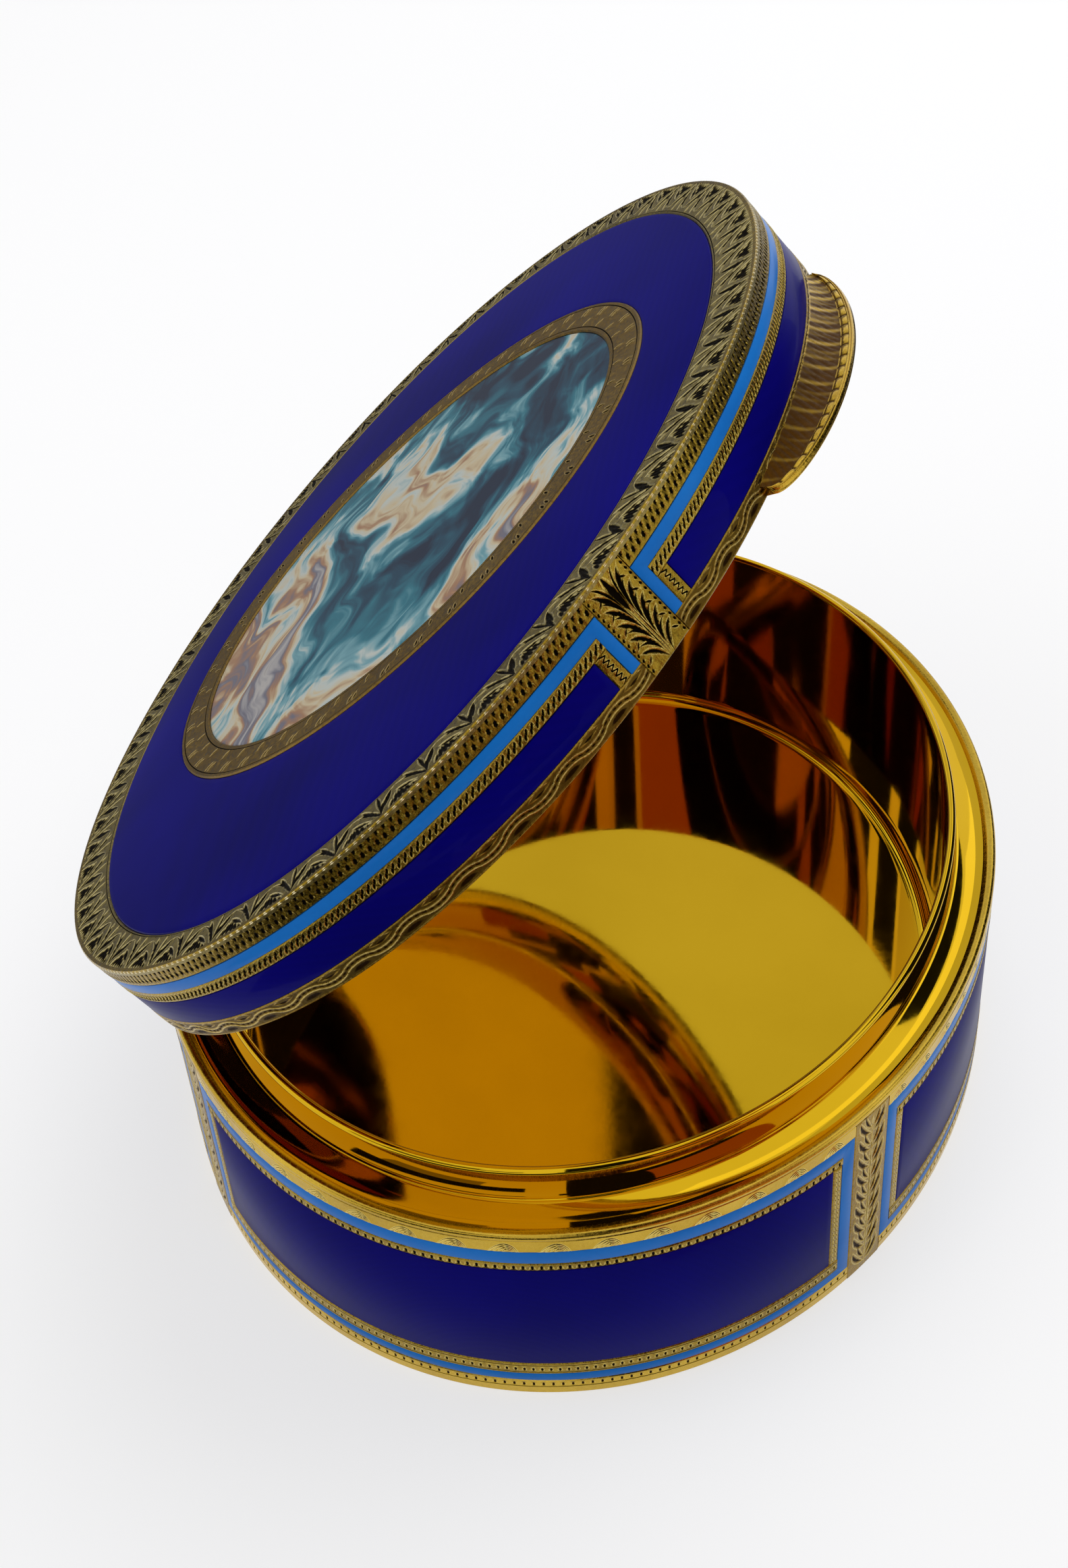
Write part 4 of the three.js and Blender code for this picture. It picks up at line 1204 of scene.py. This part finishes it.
side_height = LID_PANEL_TOP - LID_PANEL_BOTTOM
side_tile = tile("lid_side_tile", LID_SIDE_STRIP, side_height, zigzag(side_height, 0.5, 1.1, 0.56, 0.07),
                 sides=0.1, bevel=0.1, repeats=False)
side_strips("lid_side_strips", side_tile, LID_SIDE_STRIP, LID_LINE, "lid", LID_PANEL_BOTTOM)

# %% [markdown]
# ## The lid's top
# A flat border of arches and fans frames the lid's top. It is wider at the sides than at the ends,
# so the lying strip narrows by its own share of each half size, which keeps the arches whole.

# %% Arches round the top
ARCHES = 64
TOP_WIDTH = 4.85

arch = PERIMETER / ARCHES
peak = (0.41 * arch, 0.83 * TOP_WIDTH)
valley = 0.06 * TOP_WIDTH
corner = Vector((0.0, valley))
strokes = [cut((at, valley), peak, 0.29, bend=(bend * arch, 0.66 * TOP_WIDTH), belly=0.3, steps=10)
           for at, bend in ((0.0, 0.05), (arch, 0.86))]
for n, share in enumerate((0.42, 0.58, 0.62, 0.54, 0.42, 0.28)):
    foot = Vector(((0.17 + 0.125 * n) * arch, valley - 0.12))
    tip = foot.lerp(Vector(peak), share)
    strokes.append(cut(foot, tip, 0.3, bend=foot.lerp(tip, 0.5) + Vector((0.1, 0))))
for angle, share in ((142, 0.84), (116, 0.94), (90, 0.92), (66, 0.8)):
    ray = Vector((cos(radians(angle)), sin(radians(angle)))) * TOP_WIDTH
    strokes.append(cut(corner + ray * 0.24, corner + ray * share, 0.33,
                       bend=Vector((0.1, valley)) + ray * 0.6, belly=0.6))
top_tile = tile("arch_tile", arch, TOP_WIDTH, strokes, depth=0.16, grooves=[(TOP_WIDTH - 0.3, 0.06)],
                bevel=0.16, halo=0.06, edge_step=arch / 30,
                relief=lambda u, v: -0.1 * (1 - cos(12 * pi * u / arch)) / 2 * (v < 0.2))
narrowing = (BORDER_AT_ENDS / HALF_LENGTH / TOP_WIDTH, BORDER_AT_SIDES / HALF_WIDTH / TOP_WIDTH, 0)
top_border = bent_strip(top_tile, worn_gilt, PERIMETER, 0.0, LID_TOP, tiles=ARCHES, narrowing=narrowing)
dress("top_border", top_border, worn_gilt, "lid", close=True)

# %% [markdown]
# ## Corner and plate
# A scalloped bead runs round the lid's corner, in a pale, nearly cream gilt that is a painted
# highlight. It is a thin bead whose radius swells and falls, which stays smoother than many small
# balls. The plate under the enamel is plain.

# %% Corner and plate
SCALLOPS = 6 * ARCHES
EDGE_RADIUS = 0.2
points, edge_steps = [], 8 * SCALLOPS
for n in range(edge_steps):
    angle = float(angle_at(PERIMETER * n / edge_steps))
    bulge = EDGE_RADIUS * (0.66 + 0.34 * abs(sin(pi * n / 8)))
    for turn in np.linspace(-0.75 * pi, 0.75 * pi, 7):
        away = turn + pi / 4
        points.append(on_oval(EDGE_RADIUS - bulge * cos(away), angle,
                              LID_TOP - EDGE_RADIUS + bulge * sin(away)))
piece_from("corner_edge", (points, quads(edge_steps, 7, True, True)), edge_highlight_gilt, "lid")

plate = [(LID_SHEET + 0.85, LID_CEILING + 0.1), (LID_SHEET + 0.05, LID_CEILING + 0.1),
         (LID_SHEET + 0.05, LID_TOP - 1.2), (0.6, LID_TOP - 1.1), (0.6, LID_TOP - 0.45),
         (3.5, LID_TOP - 0.45)]
piece_from("lid_plate_core", oval_disc(plate), dull_gilt, "lid", nodes=["lid_plate"])

# %% [markdown]
# ## The domed field
# The dark blue field is slightly domed, so that water runs off and the glass stays in
# compression. It lies between a round ring and an oval border. Rows that blend from the circle
# to the oval follow both exactly, which a cut through an oval plate would not.

# %% The domed field
def lofted_field(start, end):
    """A ring of glass between a circle and an oval, domed towards the circle."""
    shares = [0, 0, 0.004, 0.01] + [n / 24 for n in range(1, 24)] + [0.99, 0.996, 1, 1]
    points = []
    for row, share in enumerate(shares):
        from_edge = min(row, len(shares) - 1 - row)
        height = LID_TOP - 0.5
        if from_edge:
            height = LID_TOP - 0.03 + LID_DOME * (1 - share ** 2) - (0, 0.1, 0.03, 0)[min(from_edge, 3)]
        for angle in ROUND:
            ray = cos(angle), sin(angle)
            on_circle = Vector((ray[0] * start, ray[1] * start))
            spot = on_circle.lerp(Vector((ray[0] * end[0], ray[1] * end[1])), share)
            points.append((spot.x, spot.y, height))
    return points, quads(len(shares), ROUND_STEPS, True, True)


FIELD_LENGTH, FIELD_WIDTH = HALF_LENGTH - BORDER_AT_ENDS, HALF_WIDTH - BORDER_AT_SIDES
piece_from("lid_field_glass", lofted_field(RING_RADIUS + 0.02, (FIELD_LENGTH - 0.03, FIELD_WIDTH - 0.03)),
           dark_blue, "lid", ["lid_enamel"])

# %% [markdown]
# ## Ring and plaque
# In the middle of the field a narrow ring holds the painted plaque. The ring is the same strip of
# tiles bent round a circle. The plaque is a low dome, and its map is laid from above, so that the
# painting isn't stretched at the rim.

# %% Ring and plaque
ticks = [cut((1.0, 0.7), (1.4, 2.0), 0.26), cut((1.7, 0.7), (2.1, 2.0), 0.26),
         cut((3.2, 2.4), (3.6, 3.6), 0.24)]
ring_tile = tile("ring_tile", 4.5, RING_WIDTH, ticks, depth=0.12, halo=0.04, bevel=0.15,
                 grooves=[(0.55, 0.08), (RING_WIDTH - 0.6, 0.08)])
ring = bent_strip(ring_tile, dull_gilt, 2 * pi * RING_RADIUS, 0.0, LID_TOP + LID_DOME + 0.12,
                  half_sizes=(RING_RADIUS, RING_RADIUS), narrowing=(1 / RING_RADIUS, 1 / RING_RADIUS, 0))
dress("plaque_ring", ring, dull_gilt, "lid", nodes=["medallion_ring"], close=True)

PLAQUE_RADIUS = RING_RADIUS - RING_WIDTH - 0.02
points, dome = [], [1, 1, 0.997, 0.99] + [1 - n / 24 for n in range(1, 24)]
for row, share in enumerate(dome):
    height = LID_TOP + LID_DOME - 0.05 + 0.35 * (1 - share ** 2) - (0.55, 0.1, 0.03, 0)[min(row, 3)]
    points += [(cos(a) * PLAQUE_RADIUS * share, sin(a) * PLAQUE_RADIUS * share, height)
               for a in ROUND]
mesh = mesh_of("plaque_glass", *with_poles(points, len(dome), LID_TOP + LID_DOME - 0.6,
                                           LID_TOP + LID_DOME + 0.3))
layer = mesh.uv_layers.new(name="UVMap")
for loop in mesh.loops:
    spot = mesh.vertices[loop.vertex_index].co / MM
    layer.data[loop.index].uv = (0.5 + spot.x / PLAQUE_RADIUS / 2, 0.5 + spot.y / PLAQUE_RADIUS / 2)
dress("plaque_glass", mesh, painted, "lid", ["medallion"])

# %% [markdown]
# ## Thumbpiece
# The bow under the lid's front edge is what a finger lifts. It is dished and feathered with radial
# cuts, and its lip is gadrooned: a row of small round lobes that catch the light. Its dish is
# painted dark as shade, in streaks, darker towards the lobes and towards the end at lower x, and
# the gaps between the lobes and two lines on its edge are painted dark as shade too.

# %% Thumbpiece
THUMB_MIDDLE = -3.3
THUMB_HALF = 19.8
THUMB_PITCH = 2.0
THUMB_ALONG = 480
DISH_STEPS = 16
# Two rows of the edge, painted dark as shade.
EDGE_LINES = (25, 29)


def thumb_section(turn, at):
    """Points across the bow, from the wall over the dish, the lobes and the edge, and back under."""
    swell = sin(turn)
    proud = 0.7 + 2.4 * swell
    top, low = LID_BOTTOM + 1.1 + 0.6 * swell, LID_BOTTOM - 2.0 * swell
    lip = low + 0.9
    lobe = abs(sin(pi * at / THUMB_PITCH)) ** 0.5
    fall = 0.42 * (1 - lobe) * (0.25 + 0.75 * swell)
    rim = (0.60 * proud, lip - 0.12)
    dish = fillet((0.3 + 0.25 * (proud - 0.3), top - 0.85 * (top - lip)), (-0.1, top), rim, DISH_STEPS)
    lobes = fillet((0.70 * proud, lip + 0.22 - fall), rim, (0.84 * proud, lip - 0.16 - fall * 0.5), 6)
    edge = [(share * proud, lip - drop) for share, drop in (
        (0.86, 0.24), (0.885, 0.17), (0.92, 0.2), (0.935, 0.3), (0.955, 0.25), (0.985, 0.33), (1, 0.48))]
    return ([(-0.5, LID_BOTTOM + 0.02), (-0.5, top - 0.1)] + dish + lobes[1:] + edge
            + [(proud, low + 0.12), (proud - 0.12, low)])


turns = [pi * n / THUMB_ALONG for n in range(THUMB_ALONG + 1)]
places = [THUMB_MIDDLE - THUMB_HALF * cos(turn) for turn in turns]
sections = [thumb_section(turn, at) for turn, at in zip(turns, places)]
across = len(sections[0])
# The cut attribute here holds the feather cuts and painted shade: the dish darker in streaks, towards the
# lobes and towards lower x, the gaps between lobes and two edge lines.
points, cut_values = [], []
for at, section in zip(places, sections):
    for row, (proud, height) in enumerate(section):
        share = (row - 2) / DISH_STEPS
        feather, polish_and_shade = 0.0, 0.0
        if 0 < share < 1:
            phase = at * 1.1 + 1.6 * share + 0.3 * sin(at * 0.7)
            feather = max(0.0, 1 - abs((phase % 1) - 0.5) / 0.3) * sin(pi * share) ** 0.5
            streak = sin(at * 2.6 - 4 * share) + sin(at * 4.3 - 5 * share + 1)
            polish_and_shade = 0.60 + 0.15 * streak - 0.0115 * (at - THUMB_MIDDLE) * (1 - 0.4 * share) + 0.12 * share
        elif share >= 1:
            low_lobe = 1 - abs(sin(pi * at / THUMB_PITCH))
            polish_and_shade = 0.9 * low_lobe ** 3 if share < 1.4 else (0.5 if row in EDGE_LINES else 0.0)
        cut_values.append(min(1.0, max(feather * 0.4, polish_and_shade)))
        points.append(on_oval(-(proud - 0.05 * feather), 1.5 * pi + asin(at / HALF_LENGTH),
                              height - 0.03 * feather))
faces = quads(THUMB_ALONG + 1, across, round_columns=True)
faces += [tuple(range(across)), tuple(range(len(points) - across, len(points)))]
mesh = mesh_of("thumb_bow", points, faces)
mesh.attributes.new("cut", "FLOAT", "POINT").data.foreach_set("value", cut_values)
dress("thumb_bow", mesh, thumb_gilt, "lid", nodes=["thumbpiece"], crease=50)

# %% [markdown]
# ## Hinge
# Five knuckles share one pin: three belong to the body and two to the lid. Each leaf has a straight
# bearer that fills the crescent between the curved wall and the pin.

# %% Hinge
KNUCKLES, KNUCKLE_LENGTH, KNUCKLE_RADIUS = 5, 7.2, 1.2
PIN_RADIUS, PIN_HEAD = 0.55, 0.4
HINGE_HALF = KNUCKLES * KNUCKLE_LENGTH / 2
BEARER_HEIGHT = 1.5
BEARER_STEPS = 48


def turned(section, steps=48, capped=False):
    """A section of (radius, x) points turned about the hinge line, hollow or with flat ends."""
    points = []
    for n in range(steps):
        angle = 2 * pi * n / steps
        points += [(x, HINGE.y + radius * cos(angle), HINGE.z + radius * sin(angle))
                   for radius, x in section]
    faces = quads(steps, len(section), True, not capped)
    if capped:
        faces += [tuple(n * len(section) + end for n in range(steps)) for end in (0, len(section) - 1)]
    return points, faces


def add_to(points, faces, more):
    first = len(points)
    points += more[0]
    faces += [tuple(first + n for n in face) for face in more[1]]


def leaf(numbers, bottom):
    """The knuckles of one leaf, and the bearer that joins them to the wall."""
    points, faces = [], []
    knuckle_end = [(PIN_RADIUS + 0.08, 0), (KNUCKLE_RADIUS - 0.15, 0), (KNUCKLE_RADIUS - 0.04, 0.04),
                   (KNUCKLE_RADIUS, 0.15)]
    for number in numbers:
        start = -HINGE_HALF + number * KNUCKLE_LENGTH + 0.1
        end = start + KNUCKLE_LENGTH - 0.2
        add_to(points, faces, turned([(radius, start + step) for radius, step in knuckle_end]
                                     + [(radius, end - step) for radius, step in knuckle_end[::-1]]))
    strip, back, top = [], HINGE.y, bottom + BEARER_HEIGHT
    for n in range(BEARER_STEPS + 1):
        x = -HINGE_HALF + 2 * HINGE_HALF * n / BEARER_STEPS
        wall = (HALF_WIDTH - 1.2) * sqrt(1 - (x / (HALF_LENGTH - 1.2)) ** 2)
        strip += [(x, wall, bottom), (x, back - 0.15, bottom), (x, back, bottom + 0.15),
                  (x, back, top - 0.15), (x, back - 0.15, top), (x, wall, top)]
    add_to(points, faces, (strip, quads(BEARER_STEPS + 1, 6, round_columns=True) + [
        tuple(range(6)), tuple(range(BEARER_STEPS * 6, BEARER_STEPS * 6 + 6))]))
    return points, faces


piece_from("body_hinge_gilt", leaf((0, 2, 4), BODY_HEIGHT - BEARER_HEIGHT), dull_gilt, "box",
           ["body_hinge_leaf"])
piece_from("lid_hinge_gilt", leaf((1, 3), LID_BOTTOM), dull_gilt, "lid", ["lid_hinge_leaf"])
half_pin = [(0.8, HINGE_HALF + PIN_HEAD), (1.0, HINGE_HALF + PIN_HEAD - 0.15), (1.0, HINGE_HALF),
            (PIN_RADIUS, HINGE_HALF)]
piece_from("hinge_pin_gilt", turned([(radius, -x) for radius, x in half_pin] + half_pin[::-1], capped=True),
           warm_gilt, "box", ["hinge_pin"])

# %% [markdown]
# ## Finish
# The file ends by printing how large the finished box is.

# %% Measure
low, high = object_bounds()
print("box now:", list(low), list(high))
